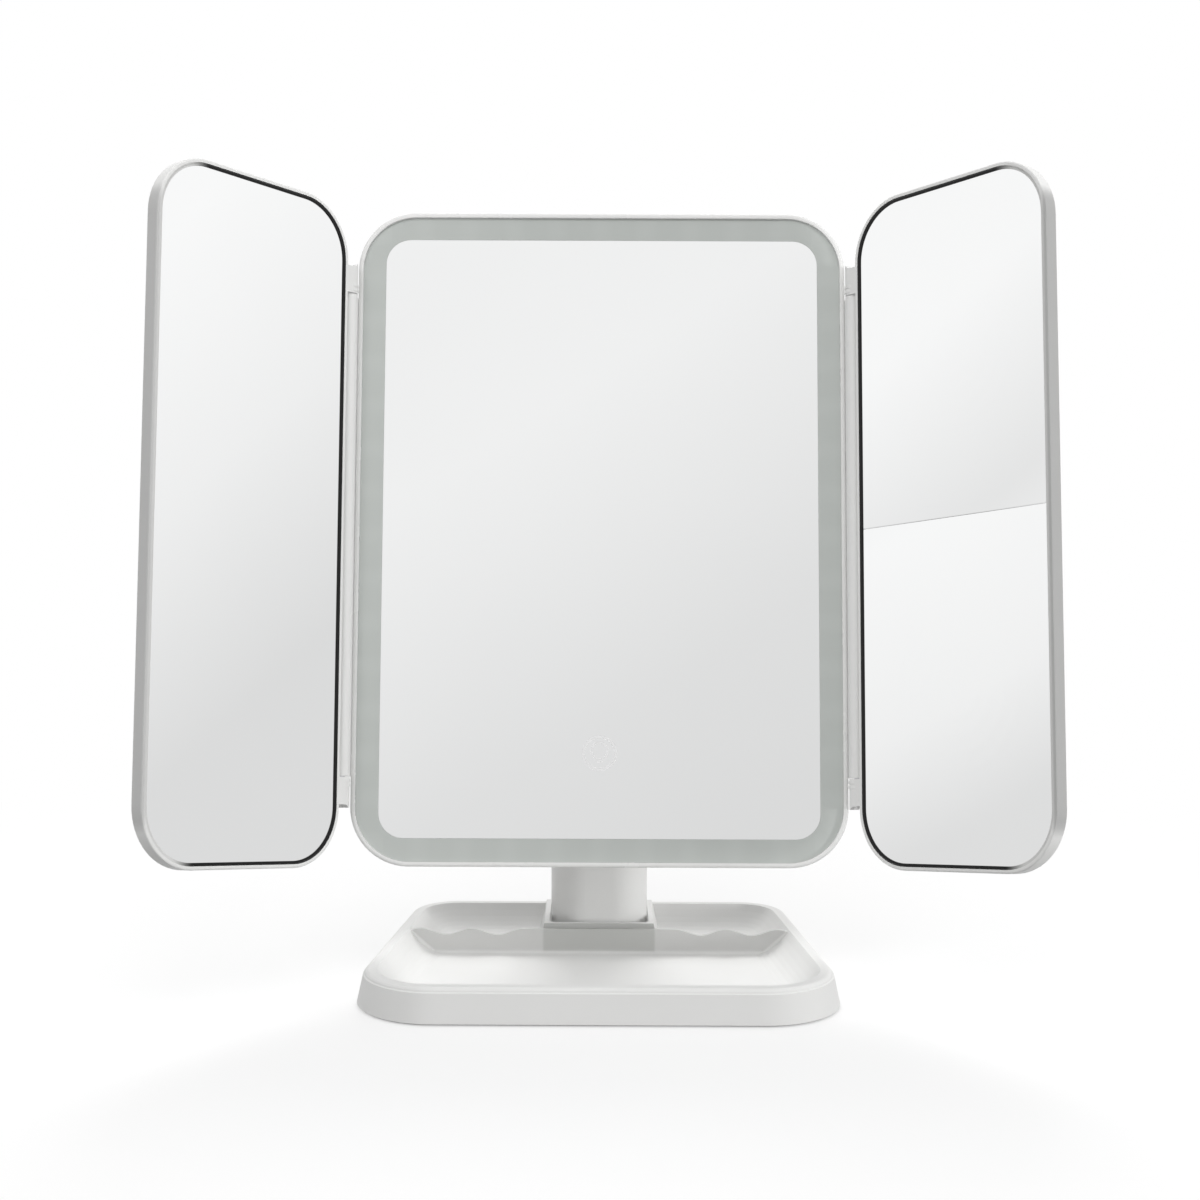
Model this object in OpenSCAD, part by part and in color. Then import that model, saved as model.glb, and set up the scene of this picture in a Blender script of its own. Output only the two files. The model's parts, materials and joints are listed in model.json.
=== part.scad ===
// Trifold vanity mirror on a tray base.
// Frame: +Z up, front faces -Y, origin under the middle of the base, on the floor.
// Panel parts are drawn lying face up: X right, Y up the panel, Z towards the viewer,
// with Z = 0 on the face of the glass, and are then stood up and tilted.

/* [Centre panel] */
// Overall width of the centre frame
panel_w = 176.5; // [160:0.5:190]
// Overall height of the centre frame
panel_h = 236.5; // [220:0.5:250]
// Corner radius of the centre frame
panel_r = 21; // [18:0.5:26]
// Width of the rim that shows round the glass
rim_w = 1.7; // [1.2:0.1:2.2]
// How far the rim stands in front of the glass
rim_proud = 1; // [0.6:0.1:1.6]
// Width of the frosted light band
band_w = 8.3; // [7:0.1:10]
// Corner radius of the centre mirror
mirror_r = 9; // [6:0.5:12]
// Thickness of the centre mirror and of the light band
glass_t = 2; // [1.8:0.1:2.4]
// Depth of the panel behind the face of the glass
panel_d = 11; // [10.5:0.1:13]
// Depth behind the glass at which frame and housing meet
split_d = 6; // [5.6:0.1:6.4]
// Wall of the mouldings
wall = 1.8; // [1.5:0.1:2.2]
// Round on the back edge of the rear housing
back_round = 3; // [1.5:0.1:4]

/* [Light channel] */
// How far the light channel reaches in behind the mirror's edge
channel_under = 3.2; // [2.4:0.1:4]
// Depth of the channel floor behind the glass
channel_d = 5.5; // [5:0.1:5.8]
// Thickness of the middle plate
plate_t = 1.5; // [1.2:0.1:1.8]
// Number of LEDs along each side
leds_side = 13; // [9:1:17]
// Number of LEDs along the top and along the bottom
leds_end = 9; // [6:1:12]

/* [Wings] */
// Thickness of a wing
wing_t = 6; // [5.6:0.1:8]
// Corner radius of a wing
wing_r = 21; // [18:0.5:26]
// Width of the rim that shows round a wing mirror
wing_rim = 1.3; // [1:0.1:2]
// Depth of the mirror below the wing's rim
wing_recess = 1; // [0.6:0.1:1.4]
// Thickness of a wing mirror
wing_glass_t = 1.8; // [1.6:0.1:2.2]
// Thickness of the black seal round a wing mirror
seal_t = 0.3; // [0.2:0.05:0.5]
// Floor of the wing shell
wing_floor = 1.8; // [1.4:0.1:2]
// Height of the right wing's upper mirror
upper_mirror_h = 115.4; // [100:0.1:130]
// Gap between the right wing's two mirrors
mirror_gap = 0.4; // [0.3:0.1:1]
// Radius of the hollow in the upper magnifying mirror
upper_hollow_r = 3600; // [3200:50:5000]
// Radius of the hollow in the lower magnifying mirror
lower_hollow_r = 2600; // [2400:50:4000]
// Angle of the wings to the panel's plane, as photographed
wing_angle = 51.5; // [30:0.5:70]

/* [Wing hinges] */
// Radius of the hinge barrel
barrel_r = 3; // [2.7:0.05:3.2]
// Gap between a hinge barrel and the edge of its wing
barrel_gap = 0.5; // [0.4:0.05:1]
// How far the long barrels sit into the panel's side
barrel_bite = 0.25; // [0:0.05:0.5]
// Gap between the rims when a wing is folded
fold_gap = 0.75; // [0.6:0.05:1.5]
// Gap between the folded wings, in the middle
meet_gap = 1; // [0.6:0.1:3]
// Distance from the panel's end to the hinge ears
ear_inset = 21.8; // [20:0.1:30]
// Length of a hinge ear
ear_len = 9.6; // [7:0.1:14]
// Height of the two ridges round a hinge ear
ear_ridge = 0.25; // [0.1:0.05:0.4]
// Radius of the scoop in the end of a hinge ear
scoop_r = 2.4; // [1.6:0.1:3]
// Gap between ear and barrel along the axis
ear_gap = 0.4; // [0.2:0.05:0.8]
// Radius of a hinge pin
pin_r = 1.25; // [1:0.05:1.5]
// Running clearance of a pin or axle
run_gap = 0.05; // [0.03:0.01:0.08]
// Length of a pin inside the barrel
pin_in = 7; // [5:0.5:12]

/* [Tilt hinge] */
// Height of the tilt axis above the floor
pivot_h = 112; // [105:0.5:120]
// Distance from the face of the glass back to the tilt axis
pivot_back = 32.8; // [31:0.1:36]
// Distance of the tilt axis below the middle of the panel
pivot_down = 41; // [38:0.5:46]
// Backward lean of the panel, as photographed
lean = 12; // [5:0.5:20]
// Radius of the tilt ears
tilt_ear_r = 11; // [9:0.1:12]
// Thickness of a tilt ear
tilt_ear_t = 5.5; // [4:0.1:7]
// Thickness of the plate that joins the tilt ears
bracket_t = 2.4; // [2:0.1:3]
// Radius of the tilt axle
axle_r = 3; // [2.5:0.1:3.5]
// Outer radius of the bush in the neck
bush_r = 4.5; // [4.2:0.1:5.5]
// Thickness of a friction washer
washer_t = 0.9; // [0.6:0.1:1.2]

/* [Neck] */
// Width of the neck
neck_w = 36; // [32:0.5:40]
// Depth of the neck
neck_d = 25.6; // [23:0.2:28]
// Wall of the neck
neck_wall = 2.4; // [2:0.1:3]
// Distance from the back edge of the base to the middle of the neck
neck_back = 28; // [26:0.25:32]

/* [Base] */
// Width of the base at its front, between the sides' straight lines
base_front_w = 175; // [165:0.5:186]
// Depth of the base
base_d = 123; // [118:0.5:128]
// Height of the rim
base_h = 12.6; // [12:0.1:14]
// Front corner radius
front_r = 28; // [25:0.5:34]
// Back corner radius
back_r = 20.5; // [20:0.5:24]
// How far the outer wall leans in over its height
flare = 2.8; // [2:0.1:4]
// Width of the top of the rim, with its round
rim_top = 4.4; // [3.6:0.1:4.8]
// Round on the outer edge of the rim
rim_round = 1.8; // [1:0.1:2.2]
// Width of the dished slope of the tray
dish_w = 12.4; // [10:0.1:13]
// Height of the tray floor
tray_floor = 3.8; // [3.7:0.1:5]
// Wall of the base shell
base_wall = 1.6; // [1.4:0.1:1.6]
// Thickness of the anti-slip pad
pad_t = 0.9; // [0.7:0.1:0.9]
// Thickness of the steel weight plate
weight_t = 1.2; // [1.1:0.1:1.2]

/* [Tray divider] */
// Thickness of the divider
divider_t = 1.6; // [1.2:0.1:2.4]
// Height of the divider's top above the floor
divider_h = 12.7; // [11.5:0.1:13.4]
// Pitch of the scallops
scallop_pitch = 18.9; // [16:0.1:20]
// Depth of the scallops
scallop_depth = 2.3; // [1:0.1:3]
// Length of the divider's flat part on each side of the neck socket
divider_flat = 7.8; // [5:0.2:9]
// Round at the foot of the divider and of the neck socket
foot_fillet = 1.6; // [0.8:0.1:2.4]

/* [Neck socket] */
// Height of the neck socket
socket_h = 14.2; // [13.8:0.1:16]
// Wall of the socket beside the neck
socket_wall = 1.8; // [1.4:0.1:2.4]
// Wall of the socket in front of the neck
socket_front = 2; // [1.4:0.1:2.6]
// How far the sides of the socket lean in over its height
socket_lean = 2.4; // [1:0.1:3]
// Gap round the neck in the socket's mouth
mouth_gap = 0.4; // [0.2:0.05:0.6]
// Depth of the neck's foot in the socket's mouth
neck_foot = 3.2; // [2:0.1:4]

/* [Battery bay] */
// Diameter of a battery cell
cell_d = 14.2; // [14:0.1:14.5]
// Length of a battery cell, with its nub
cell_len = 50; // [49.2:0.1:50.5]
// Height of the bay's middle above the panel's middle
bay_y = 22; // [16:0.5:40]
// Thickness of the battery door
door_t = 1.8; // [1.5:0.1:2.2]

/* [Controls] */
// Height of the touch symbol's middle above the panel's lower edge
touch_up = 40.25; // [36:0.25:48]
// Height of switch and inlet above the panel's lower edge
port_up = 26.25; // [24:0.25:30]
// Distance of switch and inlet from the middle
port_x = 32; // [26:0.5:34]
// Travel of the power switch
switch_travel = 3; // [2:0.1:4]

/* [Hidden] */
$fn = 64;
white = [0.93, 0.93, 0.92];
eps = 0.01;

// ---- shared values ----
neck_y = base_d / 2 - neck_back;            // neck and tilt axis, back from the middle of the base
touch_down = panel_h / 2 - touch_up;        // below the panel's middle
port_down = panel_h / 2 - port_up;
glass_w = panel_w - 2 * rim_w;              // band and mirror, outer size
glass_h = panel_h - 2 * rim_w;
mirror_w = glass_w - 2 * band_w;
mirror_h = glass_h - 2 * band_w;
fit_gap = 0.1;                              // between parts that are clipped or glued together
hinge_x = panel_w / 2 + barrel_r - barrel_bite;    // wing hinge axis, from the middle
hinge_z = rim_proud + wing_t / 2 + fold_gap;
wing_edge = barrel_r + barrel_gap;          // hinge axis to wing edge
wing_w = hinge_x - meet_gap / 2 - wing_edge;
ear_top = panel_h / 2 - ear_inset;
barrel_half = ear_top - ear_len - ear_gap;  // half length of the long barrel
wing_mirror_z = wing_t / 2 - wing_recess;   // face of a wing mirror
wing_floor_z = -wing_t / 2 + wing_floor;
channel_in = mirror_w / 2 - channel_under;  // half width of the raised middle of the plate
channel_in_h = mirror_h / 2 - channel_under;
plate_w = glass_w - 2.4;
plate_h = glass_h - 2.4;
plate_back = channel_d + plate_t;

// ---- outlines and bodies with rounded corners ----
// A body is given by sharp corners, a radius at each, and a section of [inset, height] points.
function unit(v) = v / norm(v);
function side_normal(p, i) =
    let (d = unit(p[(i + 1) % len(p)] - p[i])) [d.y, -d.x];
function corner_centre(p, r, i) =
    let (a = side_normal(p, (i + len(p) - 1) % len(p)), b = side_normal(p, i))
    p[i] - r[i] * (a + b) / (1 + a * b);
// A corner that isn't square stands this proud of its sides, so that its circle crosses them
function corner_over(p, i) =
    abs(side_normal(p, (i + len(p) - 1) % len(p)) * side_normal(p, i)) < 0.001 ? 0 : 0.01;
function rect_points(w, h) = [[-w / 2, -h / 2], [w / 2, -h / 2], [w / 2, h / 2], [-w / 2, h / 2]];
function arc_points(centre, r, from, to, steps) =
    [for (i = [0:steps]) let (a = from + (to - from) * i / steps) centre + r * [cos(a), sin(a)]];

module outline(p, r, inset = 0) {
    n = len(p);
    polygon([for (i = [0:n - 1])
        let (c = corner_centre(p, r, i), a = side_normal(p, (i + n - 1) % n), b = side_normal(p, i))
        each [c + (r[i] - inset) * a, c + (r[i] - inset) * b]]);
    for (i = [0:n - 1]) translate(corner_centre(p, r, i)) circle(r = r[i] - inset + corner_over(p, i));
}

module sectioned_body(p, r, section) {
    n = len(p);
    deepest = max([for (s = section) s[0]]) + 0.5;
    low = section[0][1];
    high = section[len(section) - 1][1];
    translate([0, 0, low]) linear_extrude(high - low) outline(p, r, deepest - 0.25);
    for (i = [0:n - 1]) {
        j = (i + 1) % n;
        normal = side_normal(p, i);
        from = corner_centre(p, r, i) + r[i] * normal;
        to = corner_centre(p, r, j) + r[j] * normal;
        translate([to.x, to.y, 0]) rotate([0, 0, atan2(normal.y, normal.x)]) rotate([90, 0, 0])
            linear_extrude(norm(to - from))
                polygon(concat([[-deepest, low]], [for (s = section) [-s[0], s[1]]], [[-deepest, high]]));
        c = corner_centre(p, r, i);
        corner_r = r[i] + corner_over(p, i);
        translate([c.x, c.y, 0]) rotate_extrude()
            polygon(concat([[0, low]], [for (s = section) [corner_r - s[0], s[1]]], [[0, high]]));
    }
}

module rounded_plate(w, h, r, t) {
    linear_extrude(t) outline(rect_points(w, h), [r, r, r, r]);
}

module rounded_slab(w, h, r, section) {
    sectioned_body(rect_points(w, h), [r, r, r, r], section);
}

// Ring between two rounded outlines, from height z0 to z1
module rounded_ring(w, h, r, width, z0, z1) {
    translate([0, 0, z0]) difference() {
        rounded_plate(w, h, r, z1 - z0);
        translate([0, 0, -1])
            rounded_plate(w - 2 * width, h - 2 * width, max(r - width, 0.5), z1 - z0 + 2);
    }
}

// Oval with straight long sides
module stadium(w, d) {
    square([w - d, d], center = true);
    for (s = [-1, 1]) translate([s * (w - d) / 2, 0]) circle(d = d);
}

// ---- placing ----
module stand_panel() {
    translate([0, neck_y, pivot_h]) rotate([90 - lean, 0, 0]) translate([0, pivot_down, pivot_back])
        children();
}

module stand_wing(side) {
    stand_panel() mirror([side < 0 ? 1 : 0, 0, 0]) translate([hinge_x, 0, hinge_z])
        rotate([0, -wing_angle, 0]) children();
}

// ======== base ========
base_taper = 31 / 120;                        // width that the base loses per depth, towards its back
base_back_w = base_front_w - base_taper * base_d;
base_corners = [[-base_front_w / 2, -base_d / 2], [base_front_w / 2, -base_d / 2],
                [base_back_w / 2, base_d / 2], [-base_back_w / 2, base_d / 2]];
base_radii = [front_r, front_r, back_r, back_r];
foot_edge = pad_t / 2;                       // the wall ends this high, and the pad stands below it
dish_in = flare + rim_top;                   // inset of the tray's edge
dish_deep = base_h - tray_floor;
root_z = tray_floor - base_wall / 2;         // what stands on the tray is rooted this deep in its floor
dish_steps = 7;
plate_in = base_wall + 1.2;                  // inset of weight plate and pad
plate_top = pad_t + weight_t;
socket_w = neck_w + 2 * (mouth_gap + socket_wall);
socket_y = neck_y - neck_d / 2 - mouth_gap - socket_front;   // front of the socket at its top
divider_y = socket_y - socket_lean;          // front face of the divider and of the socket's foot
scallop_start = socket_w / 2 + divider_flat;
socket_back = base_d / 2 - dish_in + 1;
plug_gap = 0.15;
plug_low = plate_top + 2;
plug_in = 2.2;                               // the plug is this much narrower than the neck, each side
boss_r = 3;
boss_in = [dish_in + 2.8, 22];               // inset of the screw bosses from the base's edges
boss_h = 4;
base_screw_grip = 2.8;                       // how far the base's screws reach into their bosses
base_screw_r = 1.1;
neck_screw_r = 1.5;
neck_screw_x = 8;                            // distance of the neck's screws from the middle
screw_gap = 0.2;                             // round a screw or its head in a clearance hole
base_head_r = 2.2;
neck_head_r = 3.2;
plate_head_h = 0.6;                          // height of the screw heads let into the weight plate

function base_half(y) = base_front_w / 2 + (base_back_w - base_front_w) / 2 * (y / base_d + 0.5);
boss_spots = [for (s = [-1, 1], e = [-1, 1]) let (y = e * (base_d / 2 - boss_in.y))
    [s * (base_half(y) - boss_in.x), y]];

function dish_height(x) = base_h - dish_deep * (1 - pow(1 - x / dish_w, 2));

module base_outer() {
    lean_in = flare / (base_h - foot_edge);
    sectioned_body(base_corners, base_radii, concat(
        [[0.8, foot_edge], [0.2, foot_edge + 0.5]],
        [[flare - rim_round * lean_in, base_h - rim_round]],
        arc_points([flare + rim_round, base_h - rim_round], rim_round, 170, 90, 4),
        [[dish_in, base_h]]));
}

// Space above the tray floor, from its dished slope upward
module tray_space(grow = 0) {
    sectioned_body(base_corners, base_radii, concat(
        [for (i = [dish_steps:-1:0]) let (x = dish_w * i / dish_steps)
            [dish_in + x - grow, dish_height(x) - grow]],
        [[dish_in - grow, base_h + 4]]));
}

// Hollow under the rim and the tray, with the recess for weight plate and pad
module under_space() {
    difference() {
        union() {
            translate([0, 0, -1]) linear_extrude(plate_top + 1)
                outline(base_corners, base_radii, plate_in - 0.2);
            sectioned_body(base_corners, base_radii, [
                [plate_in - 0.2, plate_top - 1], [plate_in - 0.2, plate_top],
                [base_wall + flare + 0.2, base_h - base_wall - 0.4]]);
        }
        tray_space(base_wall);
    }
}

function scallop_top(x) = divider_h
    - (abs(x) < scallop_start ? 0
       : scallop_depth * (1 - cos(360 * (abs(x) - scallop_start) / scallop_pitch)) / 2);

// Concave round between a floor at height z and a wall at x
function foot_round(x, z, r) = arc_points([x + r, z + r], r, 270, 180, 4);

module divider() {
    reach = base_half(divider_y) - dish_in + 0.4;
    steps = 52;
    top = [for (i = [0:steps]) let (x = reach - (reach - scallop_start) * i / steps) [x, scallop_top(x)]];
    translate([0, divider_y + divider_t, 0]) rotate([90, 0, 0]) linear_extrude(divider_t)
        polygon(concat([[-reach, root_z], [reach, root_z]], top,
                       [for (i = [steps:-1:0]) [-top[i].x, top[i].y]]));
    translate([-reach + dish_w / 2, 0, 0]) rotate([90, 0, 90]) linear_extrude(2 * reach - dish_w)
        polygon(concat(
            [[divider_y + divider_t / 2, root_z], [divider_y - foot_fillet, root_z]],
            [for (f = foot_round(0, tray_floor, foot_fillet)) [divider_y - f.x, f.y]],
            [[divider_y + divider_t / 2, tray_floor + foot_fillet]]));
}

module socket_block() {
    foot = socket_w / 2 + socket_lean;
    side = concat([[foot + foot_fillet, root_z]], foot_round(foot, tray_floor, foot_fillet),
                  [[socket_w / 2, socket_h]]);
    last = len(side) - 1;
    intersection() {
        translate([0, socket_back + 4, 0]) rotate([90, 0, 0]) linear_extrude(60)
            polygon(concat(side, [for (i = [last:-1:0]) [-side[i].x, side[i].y]]));
        translate([-40, 0, 0]) rotate([90, 0, 90]) linear_extrude(80)
            polygon(concat(
                [[socket_back + 1.5, root_z], [divider_y - foot_fillet, root_z]],
                [for (f = foot_round(0, tray_floor, foot_fillet)) [divider_y - f.x, f.y]],
                [[socket_y, socket_h], [socket_back - 1.5, socket_h], [socket_back + 1.5, base_h - 0.5]]));
    }
}

module base_shell() {
    color(white) difference() {
        union() {
            difference() {
                base_outer();
                tray_space();
                under_space();
            }
            divider();
            socket_block();
            for (b = boss_spots) translate([b.x, b.y, plate_top])
                cylinder(r = boss_r, h = boss_h);
        }
        // mouth of the socket, then the seat of the neck's plug
        translate([0, neck_y, socket_h - neck_foot])
            rounded_plate(neck_w + 2 * mouth_gap, neck_d + 2 * mouth_gap, 2, neck_foot + 1);
        translate([0, neck_y, plug_low]) linear_extrude(socket_h)
            stadium(neck_w - 2 * plug_in + 2 * plug_gap, neck_d - 2 * plug_in + 2 * plug_gap);
        for (s = [-1, 1]) translate([s * neck_screw_x, neck_y, -1])
            cylinder(r = neck_screw_r + screw_gap, h = plug_low + 2);
        for (b = boss_spots) translate([b.x, b.y, -1])
            cylinder(r = base_screw_r, h = 1 + plate_top + base_screw_grip + 0.2);
    }
}

// Hole of the weight plate, with the seat that a screw's head bears on
module plate_hole(head_r, shaft_r) {
    cylinder(r = head_r + screw_gap, h = pad_t + 0.1 + plate_head_h);
    cylinder(r = shaft_r + screw_gap, h = plate_top + 1);
}

module weight_plate() {
    color("silver") difference() {
        translate([0, 0, pad_t]) linear_extrude(weight_t) outline(base_corners, base_radii, plate_in);
        for (b = boss_spots) translate([b.x, b.y, 0]) plate_hole(base_head_r, base_screw_r);
        for (s = [-1, 1]) translate([s * neck_screw_x, neck_y, 0]) plate_hole(neck_head_r, neck_screw_r);
    }
}

module antislip_pad() {
    color([0.25, 0.25, 0.26]) linear_extrude(pad_t) outline(base_corners, base_radii, plate_in);
}

module screw(head_r, head_h, shaft_r, shaft_len) {
    cylinder(r = head_r, h = head_h);
    translate([0, 0, head_h - eps]) cylinder(r = shaft_r, h = shaft_len + eps);
}

module base_screws() {
    shaft = weight_t - 0.1 - plate_head_h + base_screw_grip;
    color("silver") for (b = boss_spots) translate([b.x, b.y, pad_t + 0.1])
        screw(base_head_r, plate_head_h, base_screw_r, shaft);
}

// ======== neck ========
neck_low = socket_h - neck_foot + 0.1;       // shoulder of the neck in the socket's mouth
neck_floor = 4.6;                            // solid foot that takes the screws
head_half = neck_w / 2;
washer_gap = 0.1;
ear_in = head_half + washer_gap + washer_t;  // inner face of a tilt ear

module neck_column() {
    inner_low = plug_low + neck_floor;
    color(white) difference() {
        translate([0, neck_y, 0]) union() {
            translate([0, 0, plug_low]) linear_extrude(neck_low - plug_low + 1)
                stadium(neck_w - 2 * plug_in, neck_d - 2 * plug_in);
            translate([0, 0, neck_low]) linear_extrude(pivot_h - neck_low) stadium(neck_w, neck_d);
            translate([0, 0, pivot_h]) rotate([0, 90, 0]) cylinder(d = neck_d, h = neck_w, center = true);
        }
        translate([0, neck_y, inner_low]) linear_extrude(neck_low + neck_wall - inner_low + 1)
            stadium(neck_w - 2 * (plug_in + neck_wall), neck_d - 2 * (plug_in + neck_wall));
        translate([0, neck_y, neck_low + neck_wall])
            linear_extrude(pivot_h - neck_d / 2 - neck_low - 2 * neck_wall)
            stadium(neck_w - 2 * neck_wall, neck_d - 2 * neck_wall);
        translate([0, neck_y, pivot_h]) rotate([0, 90, 0])
            cylinder(r = bush_r, h = neck_w + 2, center = true);
        for (s = [-1, 1]) translate([s * neck_screw_x, neck_y, plug_low - 1])
            cylinder(r = neck_screw_r, h = neck_floor + 2);
    }
}

module neck_screws() {
    shaft = plug_low + neck_floor - 0.6 - pad_t - 0.1 - plate_head_h;
    color("silver") for (s = [-1, 1]) translate([s * neck_screw_x, neck_y, pad_t + 0.1])
        screw(neck_head_r, plate_head_h, neck_screw_r, shaft);
}

module tilt_bush() {
    color("goldenrod") translate([0, neck_y, pivot_h]) rotate([0, 90, 0]) difference() {
        cylinder(r = bush_r, h = neck_w, center = true);
        cylinder(r = axle_r + run_gap, h = neck_w + 2, center = true);
    }
}

// ======== tilt hinge, carried by the panel ========
axle_end = ear_in + tilt_ear_t;
axle_head = 3;
bracket_half = 19;                           // half height of the bracket's plate
bracket_spots = [for (x = [-1, 1], y = [-1, 1]) [x * 9, y * (bracket_half - 5) - pivot_down]];
bracket_screw_r = 1.4;
bracket_head_r = 2.6;
bracket_head_h = 1.6;
bracket_boss_r = 3.4;
bracket_boss_h = 3.2;                        // bosses of the rear housing that take the bracket's screws

module at_tilt_axis() {
    translate([0, -pivot_down, -pivot_back]) rotate([0, 90, 0]) children();
}

module tilt_ear() {
    root = [-pivot_down - bracket_half, -pivot_down + bracket_half];
    waist = -panel_d - 8;
    translate([ear_in, 0, 0]) rotate([90, 0, 90]) linear_extrude(tilt_ear_t) difference() {
        union() {
            polygon([[root[0], -panel_d - bracket_t / 2], [root[1], -panel_d - bracket_t / 2],
                     [-pivot_down + tilt_ear_r, waist], [-pivot_down + tilt_ear_r, -pivot_back],
                     [-pivot_down - tilt_ear_r, -pivot_back], [-pivot_down - tilt_ear_r, waist]]);
            translate([-pivot_down, -pivot_back]) circle(r = tilt_ear_r);
        }
        translate([-pivot_down, -pivot_back]) circle(r = axle_r);
    }
}

module tilt_bracket() {
    color(white) stand_panel() difference() {
        union() {
            translate([0, -pivot_down, -panel_d - bracket_t])
                rounded_plate(2 * axle_end, 2 * bracket_half, 0.6, bracket_t);
            for (s = [0, 1]) mirror([s, 0, 0]) tilt_ear();
        }
        for (b = bracket_spots) translate([b.x, b.y, -panel_d - bracket_t - 1])
            cylinder(r = bracket_screw_r + screw_gap, h = bracket_t + 2);
    }
}

module bracket_screws() {
    color("silver") stand_panel() for (b = bracket_spots)
        translate([b.x, b.y, -panel_d - bracket_t - bracket_head_h])
            screw(bracket_head_r, bracket_head_h, bracket_screw_r, bracket_t + wall + bracket_boss_h - 0.8);
}

module tilt_axle() {
    color("silver") stand_panel() at_tilt_axis() {
        translate([0, 0, -axle_end]) cylinder(r = axle_r, h = 2 * axle_end + axle_head + 0.8);
        translate([0, 0, -axle_end - axle_head]) cylinder(r = axle_r + 2.5, h = axle_head);
    }
}

module tilt_nut() {
    color("silver") stand_panel() at_tilt_axis() translate([0, 0, axle_end]) difference() {
        cylinder(r = axle_r + 2.8, h = axle_head, $fn = 6);
        translate([0, 0, -1]) cylinder(r = axle_r, h = axle_head + 2);
    }
}

module tilt_washers() {
    color([0.2, 0.2, 0.2]) stand_panel() at_tilt_axis() for (s = [-1, 1])
        translate([0, 0, s * (ear_in - washer_t / 2)]) difference() {
            cylinder(r = tilt_ear_r - 2, h = washer_t, center = true);
            cylinder(r = axle_r + run_gap, h = washer_t + 2, center = true);
        }
}

module tilt_caps() {
    cap_wall = 1.2;
    cap_h = axle_head + 0.8 + cap_wall + 0.4;
    color(white) stand_panel() at_tilt_axis() for (s = [0, 1]) mirror([0, 0, s])
        translate([0, 0, axle_end]) difference() {
            rotate_extrude() polygon([[0, 0], [tilt_ear_r - 2, 0], [tilt_ear_r - 2, cap_h - 1.2],
                                      [tilt_ear_r - 3.2, cap_h], [0, cap_h]]);
            translate([0, 0, -1]) cylinder(r = tilt_ear_r - 2 - cap_wall, h = cap_h - cap_wall + 1);
        }
}

// ======== centre panel ========
board_t = 1.2;
board_front = -glass_t - plate_t - 1.2;
board_back = board_front - board_t;
board_w = 2 * port_x + 22;
board_h = 34;
board_y = -touch_down - 7;
board_posts = [for (x = [-1, 1], y = [-1, 1]) [x * (board_w / 2 - 3), board_y + y * (board_h / 2 - 3)]];
touch_r = 6.5;
usb_size = [8, 3];
knob_size = [4, 2.6];
switch_size = [12, 6];
ledge_t = 1.2;                               // ledge of the frame behind the light band
ledge_in = rim_w + 3;
lip_t = 0.9;                                 // lip of the housing inside the frame
boss_x = channel_in - 9;
boss_y = channel_in_h - 9;
housing_screw_r = 1.25;
housing_head_r = 2.7;
housing_screw_deep = 2;                      // the screws' heads lie this deep in the housing
housing_bosses = [for (x = [-1, 1], y = [-1, 0, 1]) [x * boss_x, y * boss_y]];
rear_in = wall - panel_d;                    // inner face of the rear wall
bay_floor_t = 1.2;
bay_floor = -plate_back - 0.3 - bay_floor_t;             // face of the bay floor
end_gap = 2.3;                               // room for the contacts at each end of the cells
bay_half_w = 2 * cell_d + 3.4;
bay_half_h = cell_len / 2 + end_gap;
cell_z = bay_floor - 0.15 - cell_d / 2;
door_face = cell_z - cell_d / 2 - 0.35;      // inner face of the battery door
hook_wall = wall + 1;                        // side wall of the bay, with its grooves
box_w = 2 * (bay_half_w + hook_wall);
box_h = 2 * (bay_half_h + wall);
box_r = 6;
door_travel = 12;
hook_len = 8;
hook_spots = [-20, 4];                       // lower ends of the door's hooks, from the bay's middle
hook_t = 1.2;
hook_foot = 1.3;
port_wall_gap = 0.3;
lead_r = 0.7;
lead_x = cell_d;                             // between two cells
contact_t = 0.5;
lead_top = bay_y - bay_half_h + contact_t + lead_r;
lead_back = board_back - lead_r;

module front_frame() {
    color(white) stand_panel() difference() {
        rounded_slab(panel_w, panel_h, panel_r, concat(
            [[0, -split_d]], arc_points([1.1, rim_proud - 1.1], 1.1, 180, 90, 4)));
        translate([0, 0, -glass_t]) rounded_plate(glass_w, glass_h, panel_r - rim_w, 9);
        translate([0, 0, -glass_t - ledge_t - 1])
            rounded_plate(panel_w - 2 * ledge_in, panel_h - 2 * ledge_in, panel_r - ledge_in, 9);
        translate([0, 0, -split_d - 1])
            rounded_plate(panel_w - 2 * wall, panel_h - 2 * wall, panel_r - wall,
                          split_d + 1 - glass_t - ledge_t);
    }
}

module light_band() {
    lip = 1;                                 // the lip behind the mirror's edge
    color([0.74, 0.76, 0.74]) stand_panel() {
        translate([0, 0, -glass_t]) difference() {
            rounded_plate(glass_w - 2 * fit_gap, glass_h - 2 * fit_gap, panel_r - rim_w - fit_gap, glass_t);
            translate([0, 0, -1])
                rounded_plate(mirror_w + 2 * fit_gap, mirror_h + 2 * fit_gap, mirror_r + fit_gap,
                              glass_t + 2);
        }
        rounded_ring(mirror_w + 2, mirror_h + 2, mirror_r + 1, 1 + lip, -glass_t - lip, -glass_t);
    }
}

module centre_mirror() {
    color([0.85, 0.87, 0.88]) stand_panel() translate([0, 0, -glass_t])
        rounded_plate(mirror_w, mirror_h, mirror_r, glass_t);
}

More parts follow.
